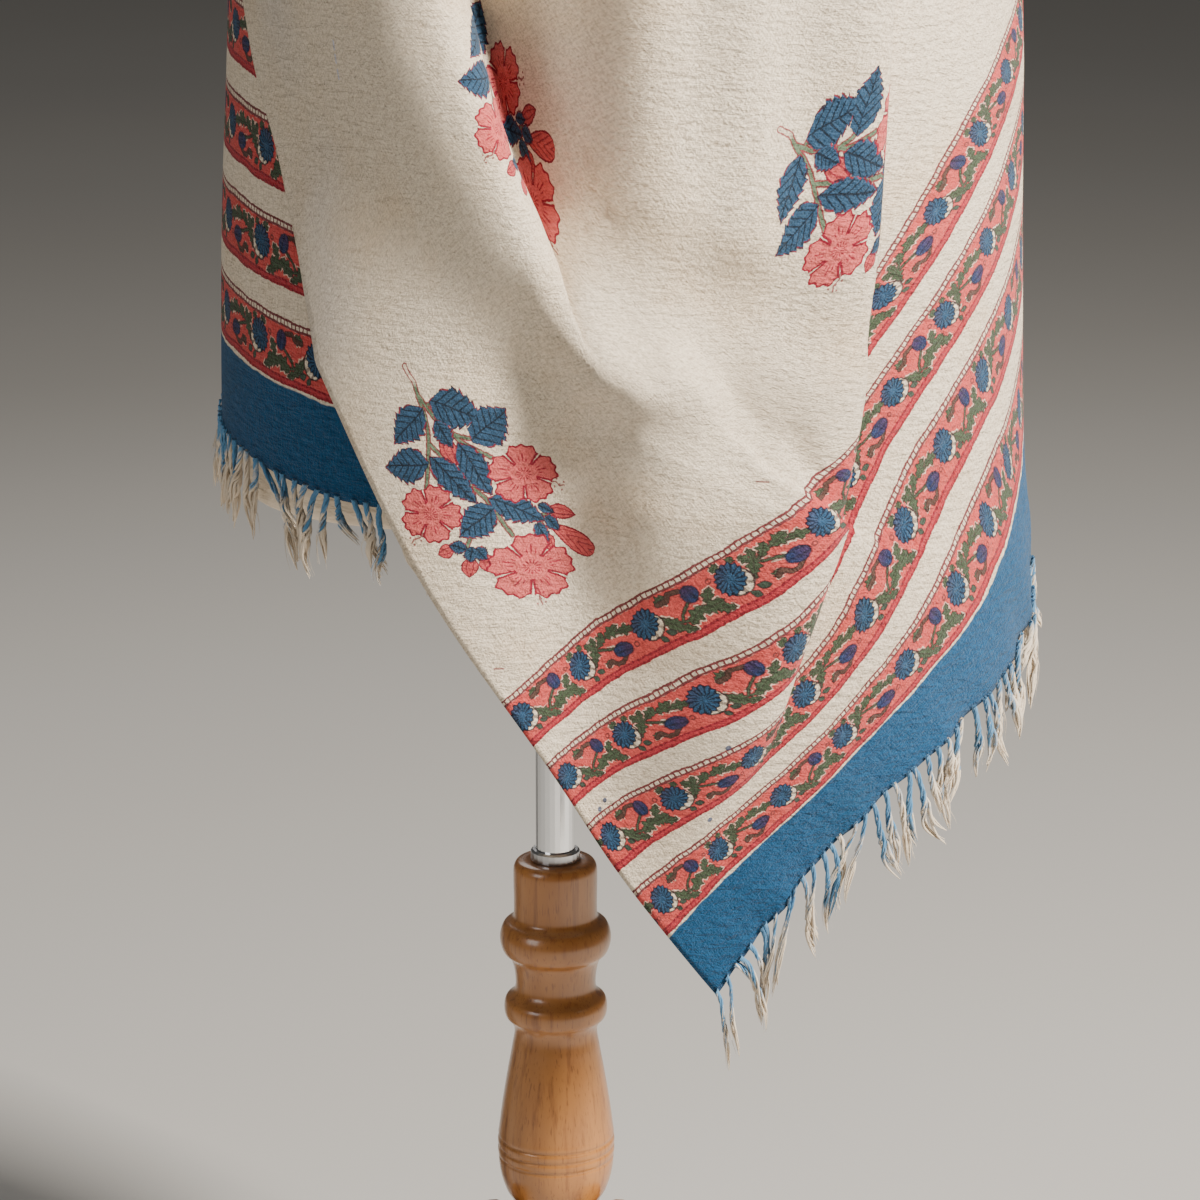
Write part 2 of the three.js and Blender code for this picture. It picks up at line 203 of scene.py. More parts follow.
# The hollow right of the centre fold, and the cloth that billows out below the lip.
POCKET = Crest(
    points=((-47.0, 1230, 0), (-37.0, 1150, -22), (-28.5, 1080, -40),
            (-21.3, 1010, -50), (-16.5, 969, -48), (-11.0, 924, -43), (-5.2, 888, -34),
            (-0.6, 862, -16), (3.4, 843, 0)),
    right=92.0, left=14.0, power=1.35)
BELLY = Crest(
    points=((33.0, 792, 0), (28.2, 780, 12), (23.4, 754, 22), (21.1, 725, 23),
            (21.2, 701, 17), (21.6, 671, 7), (22.0, 630, 0)),
    right=84.0, left=46.0)

# A fold's turn-under: half its width for each mm of hidden cloth, its least half width, where
# the seen edge lies in half widths and in hidden cloth, where drawn cloth evens out, and how
# far past the edge the fall ends.
TURN_SHARE = 0.47
TURN_LEAST = 9.0
EDGE_SHARE = 0.54
EDGE_HIDDEN = 0.0836
EVEN_START = 30
EVEN_RUN = 150
FALL_PAST = 6

# The hem's small frill: wavelength, phase and share of each wave, their height and reach.
FRILL = ((9.5, 0.4, 1.0), (5.3, 1.3, 0.7), (23.0, 0.0, 0.5))
FRILL_HEIGHT = 1.5
FRILL_REACH = 20.0

# Soft troughs and ridges of each stretch.
FRONT_WAVES = (
    Wave((36, 1150), (33.6, 880), 22, 9),
    Wave((18.5, 1110), (20.5, 905), 30, 13),
    Wave((6, 712), (12, 560), 62, -20),
    Wave((46, 1100), (43, 820), 18, -6),
    Wave((40.4, 770), (42.4, 750), 5.4, -4),
    Wave((33, 846), (45, 830), 26, -5),
    Wave((-22, 980), (-6, 760), 40, -4),
    Wave((-40, 1290), (46, 1270), 24, 9),
    Wave((-34, 1235), (50, 1200), 20, -7),
    Wave((96, 700), (92, 1100), 36, 9),
    Wave((122, 850), (108, 1150), 30, 5),
)


@dataclass(frozen=True)
class Stamp:
    """One stamped spray.

    Args:
        v: its middle across the cloth, in mm.
        u: its middle along the cloth, in mm.
        skew: how cloth mm across and along turn into the block's x and y there.
        left_of: the lap it stays to the left of, if any.
        right_of: the lap it stays to the right of, if any.
    """

    v: float
    u: float
    skew: tuple = ((0.640, -0.594), (0.735, 0.917))
    left_of: Lap | None = None
    right_of: Lap | None = None


FRONT_STAMPS = (
    Stamp(58.0, 325.3, ((0.667, -0.614), (0.783, 0.857))),
    Stamp(213.5, 468.0, ((0.980, -0.920), (0.510, 0.833)), left_of=CENTRE_LAP),
    Stamp(212.3, 458.3, ((1.143, -0.571), (-0.041, 0.888)), right_of=CENTRE_LAP),
    Stamp(366.8, 323.9, ((0.964, -0.520), (0.193, 1.288)), left_of=SIDE_PLEAT),
    Stamp(508.0, 478.0), Stamp(658.0, 325.6),
    Stamp(372.0, 622.0, ((0.700, -0.900), (0.500, 0.720))),
)

# Sprays on the back: turn, level and the way the cloth leans there, in degrees.
BACK_SPRAYS = (
    (-184, 788, 44), (-186, 1083, 44), (-184, 1362, 44), (-138, 938, 36), (-139, 1226, 34),
    (-102, 1300, 20), (-230, 938, 52), (-231, 1226, 54), (-268, 1085, 62), (-268, 1352, 62),
)

BACK_WAVES = (
    Wave((-118, 1330), (-128, 880), 30, 12),
    Wave((-140, 1380), (-150, 780), 28, -1.5),
    Wave((-162, 1400), (-168, 720), 30, 11),
    Wave((-184, 1400), (-186, 720), 26, -2),
)
UNDER_WAVES = (
    Wave((-100, 1250), (-104, 760), 34, -3),
    Wave((-128, 1250), (-126, 790), 26, 1),
)

# Hems of the back and of the first end: turn and level.
BACK_HEM = np.array([[-90, 1289], [-98, 1180], [-110, 1000], [-124, 850], [-142, 745],
                     [-165, 702], [-190, 694], [-215, 716], [-240, 800], [-265, 960],
                     [-282, 1130]], float)[::-1]
UNDER_HEM = np.array([[-196, 842], [-160, 806], [-130, 780], [-105, 762], [-85, 750],
                      [-70, 743], [-56, 733], [-44, 725], [-33, 722], [-22, 722]], float)
# The form: its base, top, rounded rim and cross-section, then level and reach to the sides,
# the front and the back, in mm.
FORM_BASE = 700
FORM_TOP = 1440
FORM_RIM = 6
FORM_POWER = 2.2
TORSO_ROWS = np.array([
    [700, 183, 116, 116], [735, 185, 119, 118], [800, 176, 116, 114], [870, 150, 104, 100],
    [935, 132, 96, 92], [1010, 138, 106, 98], [1090, 154, 124, 106], [1140, 160, 128, 108],
    [1220, 168, 116, 106], [1290, 176, 104, 108], [1330, 160, 86, 92], [1360, 124, 70, 76],
    [1380, 84, 58, 62], [1394, 63, 54, 56], [1440, 56, 52, 52],
], float)

# The turned column: radius and height, from the top down, and the bore for the tube.
COLUMN_BORE = ((12.2, 172.0), (12.2, 465.5), (13.2, 467.0))
COLUMN_PROFILE = (
    (20.5, 467), (23.5, 466), (25.3, 463), (25.7, 458), (25.7, 431), (27.5, 428.5),
    (31.5, 426), (33.9, 420), (33.9, 414), (31.8, 408), (28.2, 404.5), (26.0, 399),
    (24.8, 391), (25.0, 384), (27.5, 380), (30.6, 377.5), (31.8, 372), (30.8, 366),
    (27.6, 362.5), (25.5, 357), (27.0, 346), (30.2, 328), (33.4, 308), (35.6, 291),
    (36.0, 287.6), (35.0, 286.6), (36.1, 285.6), (36.2, 281.2), (35.2, 280.2), (36.2, 279.2),
    (36.0, 274.6), (35.0, 273.6), (35.8, 272.6), (34.6, 262), (31.2, 251), (27.0, 243),
    (27.0, 172), (30.5, 168), (30.5, 160), (24, 154), (27.5, 144), (25.5, 132), (17, 124),
    (8, 121),
)

# Leg outline in three runs, each a smooth curve: distance from the pole and height.
LEG_RUNS = (
    ((24.0, 238), (38, 246.5), (52, 245), (74, 228), (110, 197), (150, 158), (188, 108),
     (218, 58), (244, 26), (262, 15), (269, 9), (269.5, 4), (265, 0)),
    ((265, 0), (227, 0)),
    ((227, 0), (207, 14), (184, 50), (156, 94), (122, 132), (86, 160), (54, 176), (24.0, 184)),
)
LEG_THICKNESS = 23.6
LEG_STEP = 5
LEG_ROUNDING = 0.0022
LEG_TURNS = {"leg_left": -150.0, "leg_right": -30.0, "leg_rear": 90.0}


def along(rows: np.ndarray, column: int, x: np.ndarray) -> np.ndarray:
    """Smooth curve through a table's rows, keyed by its rising first column."""
    keys = rows[:, 0]
    values = rows[:, column]
    at = np.clip(x, keys[0], keys[-1])
    i = np.clip(np.searchsorted(keys, at, side="left") - 1, 0, len(keys) - 2)
    low = np.maximum(np.arange(len(keys)) - 1, 0)
    high = np.minimum(np.arange(len(keys)) + 1, len(keys) - 1)
    slope = (values[high] - values[low]) / (keys[high] - keys[low])
    h = keys[i + 1] - keys[i]
    t = (at - keys[i]) / h
    return (values[i] * (2 * t**3 - 3 * t**2 + 1) + slope[i] * h * (t**3 - 2 * t**2 + t)
            + values[i + 1] * (3 * t**2 - 2 * t**3) + slope[i + 1] * h * (t**3 - t**2))


def run_along(points: np.ndarray) -> np.ndarray:
    """How far along a line of points each one lies."""
    return np.concatenate([[0.0], np.cumsum(np.linalg.norm(np.diff(points, axis=0), axis=1))])


def smooth_line(points: np.ndarray, count: int) -> np.ndarray:
    """A smooth curve through flat points, in count even steps."""
    run = run_along(points)
    fine = np.linspace(0, run[-1], count)
    table = np.column_stack([run, points])
    return np.column_stack([along(table, 1, fine), along(table, 2, fine)])


def station_weights(x: np.ndarray, step: float, count: int) -> np.ndarray:
    """Weights of a table's even stations at x; past the ends they carry on straight."""
    s = np.asarray(x, float) / step
    i = np.clip(np.floor(s).astype(int), 0, count - 2)
    f = s - i
    inside = (f >= 0) & (f <= 1)
    g = np.clip(f, 0, 1)
    cubic = ((-g + 2 * g**2 - g**3) / 2, (2 - 5 * g**2 + 3 * g**3) / 2,
             (g + 4 * g**2 - 3 * g**3) / 2, (-(g**2) + g**3) / 2)
    weights = np.zeros((len(s), count))
    rows = np.arange(len(s))
    for k, w in enumerate(cubic):
        w = np.where(inside, w, 0.0)
        j = i + k - 1
        low, high = j < 0, j > count - 1
        ok = ~low & ~high
        np.add.at(weights, (rows[ok], j[ok]), w[ok])
        np.add.at(weights, (rows[low], 0 * j[low]), 2 * w[low])
        np.add.at(weights, (rows[low], 0 * j[low] + 1), -w[low])
        np.add.at(weights, (rows[high], 0 * j[high] + count - 1), 2 * w[high])
        np.add.at(weights, (rows[high], 0 * j[high] + count - 2), -w[high])
    out = ~inside
    np.add.at(weights, (rows[out], i[out]), 1 - f[out])
    np.add.at(weights, (rows[out], i[out] + 1), f[out])
    return weights


def lay_at(table: np.ndarray, u: np.ndarray, v: np.ndarray) -> np.ndarray:
    """The lay table's smooth value at cloth points (u, v) in mm."""
    wu = station_weights(u, LAY_STEP, table.shape[0])
    wv = station_weights(v, CLOTH_WIDTH / (table.shape[1] - 1), table.shape[1])
    return np.einsum("ni,ij,nj->n", wu, table, wv)


def drape_points(turn: np.ndarray, m: np.ndarray, off: np.ndarray) -> np.ndarray:
    """Points of the drape form at a turn and level, moved out by off, in mm from the pole."""
    z, left, right, front, back = (along(DRAPE_ROWS, c, m) for c in range(1, 6))
    s = np.sin(np.radians(turn))
    c = np.cos(np.radians(turn))
    to_right = 0.5 + 0.5 * np.tanh(s / QUADRANT_BLEND)
    to_front = 0.5 + 0.5 * np.tanh(c / QUADRANT_BLEND)
    a = left * (1 - to_right) + right * to_right
    d = back * (1 - to_front) + front * to_front
    k = ((np.abs(s) / a) ** SUPERELLIPSE + (np.abs(c) / d) ** SUPERELLIPSE) ** (
        -1 / SUPERELLIPSE)
    over = np.clip((m - SHOULDER_LEVEL) / SHOULDER_RUN, 0, SHOULDER_LIFT)
    reach = k + off * (1 - over * 0.5)
    return np.stack([reach * s, -reach * c, z + off * over], -1)


def wave_height(waves: tuple, turn: np.ndarray, m: np.ndarray) -> np.ndarray:
    """Summed height of soft troughs and ridges at a turn and level."""
    height = np.zeros_like(turn)
    for wave in waves:
        px = (turn - wave.start[0]) * ARC
        dx = (wave.end[0] - wave.start[0]) * ARC
        dy = wave.end[1] - wave.start[1]
        t = np.clip((px * dx + (m - wave.start[1]) * dy) / (dx * dx + dy * dy), 0, 1)
        d2 = (px - t * dx) ** 2 + (m - wave.start[1] - t * dy) ** 2
        height += wave.height * np.exp(-d2 / wave.half**2)
    return height


def lap_middle(lap: Lap, m: np.ndarray) -> tuple:
    """Where the middle of a lap's hidden cloth lies.

    Args:
        lap: the fold.
        m: levels.
    Returns:
        The turn of its middle, its half width, hidden cloth, cloth drawn from the right
        and rise, the lengths in mm.
    """
    rows = np.array(lap.rows, float)
    edge, hidden, rise = (along(rows, c, m) for c in (1, 2, 3))
    hidden = np.maximum(hidden, 0.0)
    half = np.maximum(TURN_SHARE * hidden, TURN_LEAST)
    drawn = hidden * (1 - lap.left_share) * (lap.left_share > 0)
    offset = EDGE_SHARE * half + EDGE_HIDDEN * hidden - hidden * (lap.left_share > 0) + drawn
    return edge + offset / ARC, half, hidden, drawn, rise


def lap_side(lap: Lap, lay: np.ndarray, m: np.ndarray) -> np.ndarray:
    """-1 for cloth left of a lap's middle, 1 right of it."""
    return np.sign(lay - lap_middle(lap, m)[0])


def lap_shift(lap: Lap, lay: np.ndarray, m: np.ndarray) -> tuple:
    """Turn shift in degrees and height in mm that a lapped fold gives the cloth.

    Across the fold the cloth moves on, back under itself and on again: its place is
    its own length t plus hidden * (1 - g(t)), where g is a smooth step. The height
    stays full up to the droop and falls in one step through the three layers.

    Args:
        lap: the fold.
        lay: turns of the unfolded cloth.
        m: its levels.
    Returns:
        Turn shifts, heights and the share of the fall, which is 1 right of the fold.
    """
    to_degrees = 1 / ARC
    middle, half, hidden, drawn, rise = lap_middle(lap, m)
    across = (lay - middle) / to_degrees
    t = np.clip(across / half, -1, 1)
    past = 0.5 + (15 / 16) * (t - 2 * t**3 / 3 + t**5 / 5)
    if lap.left_share:
        fade = np.clip((across - half - EVEN_START) / EVEN_RUN, 0, 1)
        shift = hidden * (1 - past) - drawn * (1 - fade * fade * (3 - 2 * fade))
    else:
        shift = -hidden * past
    start = -EDGE_SHARE * half - lap.droop
    fall = np.clip((across - start) / (2 * EDGE_SHARE * half + lap.droop + FALL_PAST), 0, 1)
    fall = fall**3 * (10 - 15 * fall + 6 * fall**2)
    ridge = np.exp(-((np.minimum(across - start, 0) / lap.spread) ** 2))
    return shift * to_degrees, rise * ridge * (1 - fall), fall


def crest_height(crest: Crest, turn: np.ndarray, m: np.ndarray) -> np.ndarray:
    """Height of a ridge: a bell across it, whose width depends on the side."""
    points = np.array(crest.points, float)
    nearest = np.full(turn.shape, np.inf)
    height = np.zeros_like(turn)
    for start, end in zip(points[:-1], points[1:]):
        way = np.array([(end[0] - start[0]) * ARC, end[1] - start[1]])
        px, py = (turn - start[0]) * ARC, m - start[1]
        t = np.clip((px * way[0] + py * way[1]) / (way @ way), 0, 1)
        ex, ey = px - t * way[0], py - t * way[1]
        gap = np.hypot(ex, ey)
        side = way[0] * ey - way[1] * ex
        width = np.where(side > 0, crest.right, crest.left)
        power = np.where(side > 0, crest.power, 2.0)
        own = (start[2] + (end[2] - start[2]) * t) * np.exp(-((gap / width) ** power))
        height = np.where(gap < nearest, own, height)
        nearest = np.minimum(gap, nearest)
    return height


def front_points(u: np.ndarray, v: np.ndarray, off: float = 0.0) -> np.ndarray:
    """Points of the front stretch at cloth points (u, v), in mm from the pole."""
    lay = lay_at(LAY_TURN, u, v)
    m = lay_at(LAY_LEVEL, u, v)
    turn = lay.copy()
    height = np.zeros_like(lay)
    for lap in (SIDE_PLEAT, CENTRE_LAP):
        shift, rise, fallen = lap_shift(lap, lay, m)
        turn += shift
        height += rise
    height += wave_height(FRONT_WAVES, turn, m) + crest_height(LIP, turn, m)
    height += fallen * crest_height(POCKET, turn, m) + crest_height(BELLY, turn, m)
    frill = sum(share * np.sin(v / wave + phase) for wave, phase, share in FRILL)
    height += FRILL_HEIGHT * np.exp(-u / FRILL_REACH) * frill
    return drape_points(turn, m, off + height)


def back_points(turn: np.ndarray, t: np.ndarray, off: float = 0.0) -> np.ndarray:
    """Points of the back stretch at a turn, t from its lower edge to its upper one."""
    hem = along(BACK_HEM, 1, turn)
    m = hem + (CLOTH_TOP - hem) * t
    settle = np.minimum((BACK_START - turn) / BACK_SETTLE, 1)
    fade = np.minimum(1, (BACK_START - turn) / BACK_FADE)
    return drape_points(turn, m, off + LAYER_BACK * settle
                        + fade * wave_height(BACK_WAVES, turn, m))


def under_points(turn: np.ndarray, m: np.ndarray, off: float = 0.0) -> np.ndarray:
    """Points of the first end of the shawl, beneath the other stretches."""
    return drape_points(turn, m, off + LAYER_UNDER + wave_height(UNDER_WAVES, turn, m))


# ---- Shader building ------------------------------------------------------------------------


class Term:
    """A shader number: arithmetic on it adds Math nodes to its graph."""

    def __init__(self, graph: "Graph", socket) -> None:
        self.graph = graph
        self.socket = socket

    def _op(self, operation: str, *others) -> "Term":
        """One Math node on this term and others."""
        node = self.graph.node("ShaderNodeMath", {"operation": operation},
                               {i: v for i, v in enumerate((self, *others))})
        return Term(self.graph, node.outputs[0])

    def __add__(self, other) -> "Term":
        return self._op("ADD", other)

    __radd__ = __add__

    def __sub__(self, other) -> "Term":
        return self._op("SUBTRACT", other)

    def __rsub__(self, other) -> "Term":
        return self.graph.number(other)._op("SUBTRACT", self)

    def __mul__(self, other) -> "Term":
        return self._op("MULTIPLY", other)

    __rmul__ = __mul__

    def __truediv__(self, other) -> "Term":
        return self._op("DIVIDE", other)

    def __pow__(self, other) -> "Term":
        return self._op("POWER", other)

    def __neg__(self) -> "Term":
        return self._op("MULTIPLY", -1.0)

    def __abs__(self) -> "Term":
        return self._op("ABSOLUTE")

    def minimum(self, other) -> "Term":
        """The lesser of two terms."""
        return self._op("MINIMUM", other)

    def maximum(self, other) -> "Term":
        """The greater of two terms."""
        return self._op("MAXIMUM", other)

    def sin(self) -> "Term":
        """Sine."""
        return self._op("SINE")

    def cos(self) -> "Term":
        """Cosine."""
        return self._op("COSINE")

    def floor(self) -> "Term":
        """Whole part."""
        return self._op("FLOOR")

    def fraction(self) -> "Term":
        """What is left over the whole part."""
        return self._op("FRACT")

    def wrap(self, low: float, high: float) -> "Term":
        """Wrapped into a range, for repeats."""
        return self._op("WRAP", high, low)

    def less(self, other) -> "Term":
        """1 where this term is the lesser, else 0."""
        return self._op("LESS_THAN", other)

    def bearing(self, x) -> "Term":
        """The angle in radians of a point whose y is this term."""
        return self._op("ARCTAN2", x)

    def ramp(self, low: float, high: float, first: float = 0.0, last: float = 1.0) -> "Term":
        """First below low to last above high, smoothly."""
        node = self.graph.node("ShaderNodeMapRange", {"interpolation_type": "SMOOTHSTEP"},
                               {"Value": self, "From Min": low, "From Max": high,
                                "To Min": first, "To Max": last})
        return Term(self.graph, node.outputs[0])

    def below(self, edge: float, soft: float = 0.35) -> "Term":
        """1 where the term is under the edge, with a soft step."""
        return self.ramp(edge - soft / 2, edge + soft / 2, 1.0, 0.0)


class Graph:
    """The node tree of one material."""

    def __init__(self, name: str) -> None:
        self.material = bpy.data.materials.new(name)
        self.material.use_nodes = True
        self.tree = self.material.node_tree
        self.tree.nodes.clear()

    def node(self, kind: str, settings: dict | None = None, values: dict | None = None):
        """Makes any node.

        Args:
            kind: the node's type name.
            settings: its attributes, set first.
            values: what its inputs get, by name or index.
        Returns:
            The new node.
        """
        made = self.tree.nodes.new(kind)
        for key, value in (settings or {}).items():
            setattr(made, key, value)
        for key, value in (values or {}).items():
            self._feed(made.inputs[key], value)
        return made

    def _feed(self, socket, value) -> None:
        """Gives an input its number, vector, named colour, Term or socket."""
        if isinstance(value, Enum):
            value = value.value
        if isinstance(value, Term):
            value = value.socket
        if hasattr(value, "is_output"):
            self.tree.links.new(value, socket)
        elif isinstance(value, tuple) and len(value) == 3 and socket.type == "RGBA":
            socket.default_value = (*value, 1.0)
        else:
            socket.default_value = value

    def number(self, value: float) -> Term:
        """A constant as a term."""
        made = self.node("ShaderNodeValue")
        made.outputs[0].default_value = value
        return Term(self, made.outputs[0])

    def split(self, vector) -> tuple:
        """The parts of a vector socket as three terms."""
        made = self.node("ShaderNodeSeparateXYZ", None, {0: vector})
        return tuple(Term(self, made.outputs[i]) for i in range(3))

    def join(self, x, y, z=0.0):
        """A vector socket from parts."""
        return self.node("ShaderNodeCombineXYZ", None, {0: x, 1: y, 2: z}).outputs[0]

    def uv(self, name: str = "cloth"):
        """The cloth's own coordinates: metres across and along."""
        return self.node("ShaderNodeUVMap", {"uv_map": name}).outputs[0]

    def objects(self):
        """Object coordinates."""
        return self.node("ShaderNodeTexCoord").outputs["Object"]

    def cloth(self):
        """The cloth's own coordinates in mm."""
        return self.scaled(self.uv(), (1000.0, 1000.0, 1.0))

    def vector(self, operation: str, *values):
        """A Vector Math node's vector."""
        return self.node("ShaderNodeVectorMath", {"operation": operation},
                         dict(enumerate(values))).outputs[0]

    def measure(self, operation: str, *values) -> Term:
        """A Vector Math node's number."""
        made = self.node("ShaderNodeVectorMath", {"operation": operation},
                         dict(enumerate(values)))
        return Term(self, made.outputs["Value"])

    def scaled(self, vector, scale: tuple):
        """A vector with each part scaled."""
        return self.vector("MULTIPLY", vector, scale)

    def wander(self, start, place, scale: float, amount: float, detail: float = 3.0,
               rough: float = 0.7):
        """A flat vector moved by noise.

        Args:
            start: the vector.
            place: where the noise is read.
            scale: how fine it is.
            amount: how far it moves the vector, in mm.
            detail: its octaves.
            rough: how much the fine octaves count.
        Returns:
            The moved vector.
        """
        drift = self.node("ShaderNodeTexNoise", None, {
            "Vector": place, "Scale": scale, "Detail": detail, "Roughness": rough}).outputs[1]
        return self.vector("MULTIPLY_ADD", drift, (amount, amount, 0.0), start)

    def noise(self, vector, scale: float, detail: float = 2.0, rough: float = 0.5) -> Term:
        """Fractal noise from 0 to 1."""
        made = self.node("ShaderNodeTexNoise", None, {
            "Vector": vector, "Scale": scale, "Detail": detail, "Roughness": rough})
        return Term(self, made.outputs[0])

    def mix(self, factor, first, second, mode: str = "MIX"):
        """Colour mix, from first at 0 to second at 1."""
        return self.node("ShaderNodeMix", {"data_type": "RGBA", "blend_type": mode,
                                           "clamp_factor": True},
                         {0: factor, 6: first, 7: second}).outputs[2]

    def pick(self, factor, first, second):
        """Vector mix, from first at 0 to second at 1."""
        return self.node("ShaderNodeMix", {"data_type": "VECTOR"},
                         {0: factor, 4: first, 5: second}).outputs[1]

    def lobe(self, place, base: tuple, tip: tuple, half: float):
        """A place seen in one blade's own frame: x -1 at base, 1 at tip, y in half widths."""
        dx, dy = tip[0] - base[0], tip[1] - base[1]
        return self.node("ShaderNodeMapping", {"vector_type": "TEXTURE"}, {
            "Vector": place, "Rotation": (0.0, 0.0, math.atan2(dy, dx)),
            "Location": ((base[0] + tip[0]) / 2, (base[1] + tip[1]) / 2, -half),
            "Scale": (math.hypot(dx, dy) / 2, half, 1.0)}).outputs[0]

    def nearest(self, place, blades: tuple) -> tuple:
        """The frame of the nearest of several blades.

        Args:
            place: the point, in mm.
            blades: (base, tip, half width) of each, in mm.
        Returns:
            Terms x from -1 at the base to 1 at the tip, y in half widths, and the half width.
        """
        best = frame_at = None
        for base, tip, half in blades:
            mapped = self.lobe(place, base, tip, half)
            size = self.measure("LENGTH", self.scaled(mapped, (1.0, 1.0, 0.0)))
            if best is None:
                best, frame_at = size, mapped
            else:
                frame_at = self.pick(size.less(best), frame_at, mapped)
                best = best.minimum(size)
        return self.split(frame_at)

    def stroke(self, place, points: tuple) -> Term:
        """Distance in mm from a place to a line through points."""
        best = None
        for start, end in zip(points[:-1], points[1:]):
            way = (end[0] - start[0], end[1] - start[1], 0.0)
            square = way[0] ** 2 + way[1] ** 2
            rest = self.vector("SUBTRACT", place, (start[0], start[1], 0.0))
            share = self.measure("DOT_PRODUCT", rest, tuple(w / square for w in way))
            share = self.node("ShaderNodeMath", {"operation": "ADD", "use_clamp": True},
                              {0: share, 1: 0.0}).outputs[0]
            foot = self.node("ShaderNodeVectorMath", {"operation": "SCALE"},
                             {0: way, "Scale": share}).outputs[0]
            gap = self.measure("DISTANCE", rest, foot)
            best = gap if best is None else best.minimum(gap)
        return best

    def strokes(self, place, lines: tuple) -> Term:
        """Distance in mm from a place to the nearest of several lines."""
        best = None
        for line in lines:
            gap = self.stroke(place, line)
            best = gap if best is None else best.minimum(gap)
        return best

    def bump(self, height, strength: float, distance: float, normal=None):
        """Normal socket from a height."""
        values = {"Height": height, "Strength": strength, "Distance": distance}
        if normal is not None:
            values["Normal"] = normal
        return self.node("ShaderNodeBump", None, values).outputs[0]

    def finish(self, values: dict):
        """Principled shader with these inputs, joined to the output. Returns the material."""
        shader = self.node("ShaderNodeBsdfPrincipled", None, values)
        output = self.node("ShaderNodeOutputMaterial")
        self.tree.links.new(shader.outputs[0], output.inputs[0])
        return self.material


def srgb(red: int, green: int, blue: int) -> tuple:
    """Linear colour from 0 to 255 display values."""
    return tuple(
        ((c / 255 + 0.055) / 1.055) ** 2.4 if c / 255 > 0.04045 else c / 255 / 12.92
        for c in (red, green, blue))


class Ink(Enum):
    """Colours of the wool, its dyes, the block print and the wood."""

    CREAM = srgb(236, 221, 198)
    WARM_CREAM = srgb(240, 224, 200)
    STAIN = srgb(150, 166, 196)
    DRIP = srgb(44, 74, 116)
    DASH = srgb(128, 44, 52)
    DARN = srgb(206, 206, 222)
    CORAL = srgb(217, 92, 86)
    DEEP_CORAL = srgb(203, 74, 74)
    CRIMSON = srgb(176, 48, 62)
    RAIL = srgb(132, 26, 44)
    LADDER = srgb(112, 26, 44)
    VINE_DARK = srgb(58, 66, 50)
    VINE_PALE = srgb(84, 106, 78)
    VINE_LINE = srgb(56, 38, 40)
    SCROLL = srgb(88, 62, 54)
    SCROLL_LINE = srgb(58, 34, 38)
    RING = srgb(92, 50, 50)
    BUD_BLUE = srgb(40, 56, 98)
    BUD_VIOLET = srgb(66, 50, 88)
    BUD_LINE = srgb(34, 28, 48)
    CRESCENT_LINE = srgb(60, 40, 44)
    SPRIG = srgb(64, 78, 66)
    SPRIG_LINE = srgb(50, 36, 40)
    ROSETTE_VIOLET = srgb(68, 54, 84)
    ROSETTE_BLUE = srgb(40, 76, 108)
    ROSETTE_PALE = srgb(48, 86, 120)
    ROSETTE_LINE = srgb(20, 26, 46)
    HEM_DARK = srgb(14, 64, 104)
    HEM_PALE = srgb(38, 98, 142)
    NIGHT = srgb(48, 34, 52)
    MAROON = srgb(134, 34, 52)
    STEM = srgb(100, 120, 96)
    NEST = srgb(214, 98, 94)
    NEST_DEEP = srgb(196, 80, 82)
    BUD = srgb(206, 92, 90)
    BUD_DEEP = srgb(190, 78, 80)
    LEAF = srgb(32, 60, 88)
    LEAF_PALE = srgb(58, 92, 122)
    LEAF_VEIN = srgb(22, 30, 42)
    PETAL = srgb(224, 112, 108)
    PETAL_DEEP = srgb(204, 88, 90)
    PETAL_RAY = srgb(146, 30, 52)
    YARN_BLUE = srgb(40, 96, 142)
    YARN_PALE_BLUE = srgb(92, 148, 182)
    YARN_CREAM = srgb(196, 178, 152)
    YARN_PALE_CREAM = srgb(230, 216, 196)
    BEECH = srgb(150, 96, 46)
    BEECH_PALE = srgb(172, 116, 60)
    BEECH_FIBRE = srgb(104, 54, 22)
    BEECH_RAY = srgb(88, 44, 18)


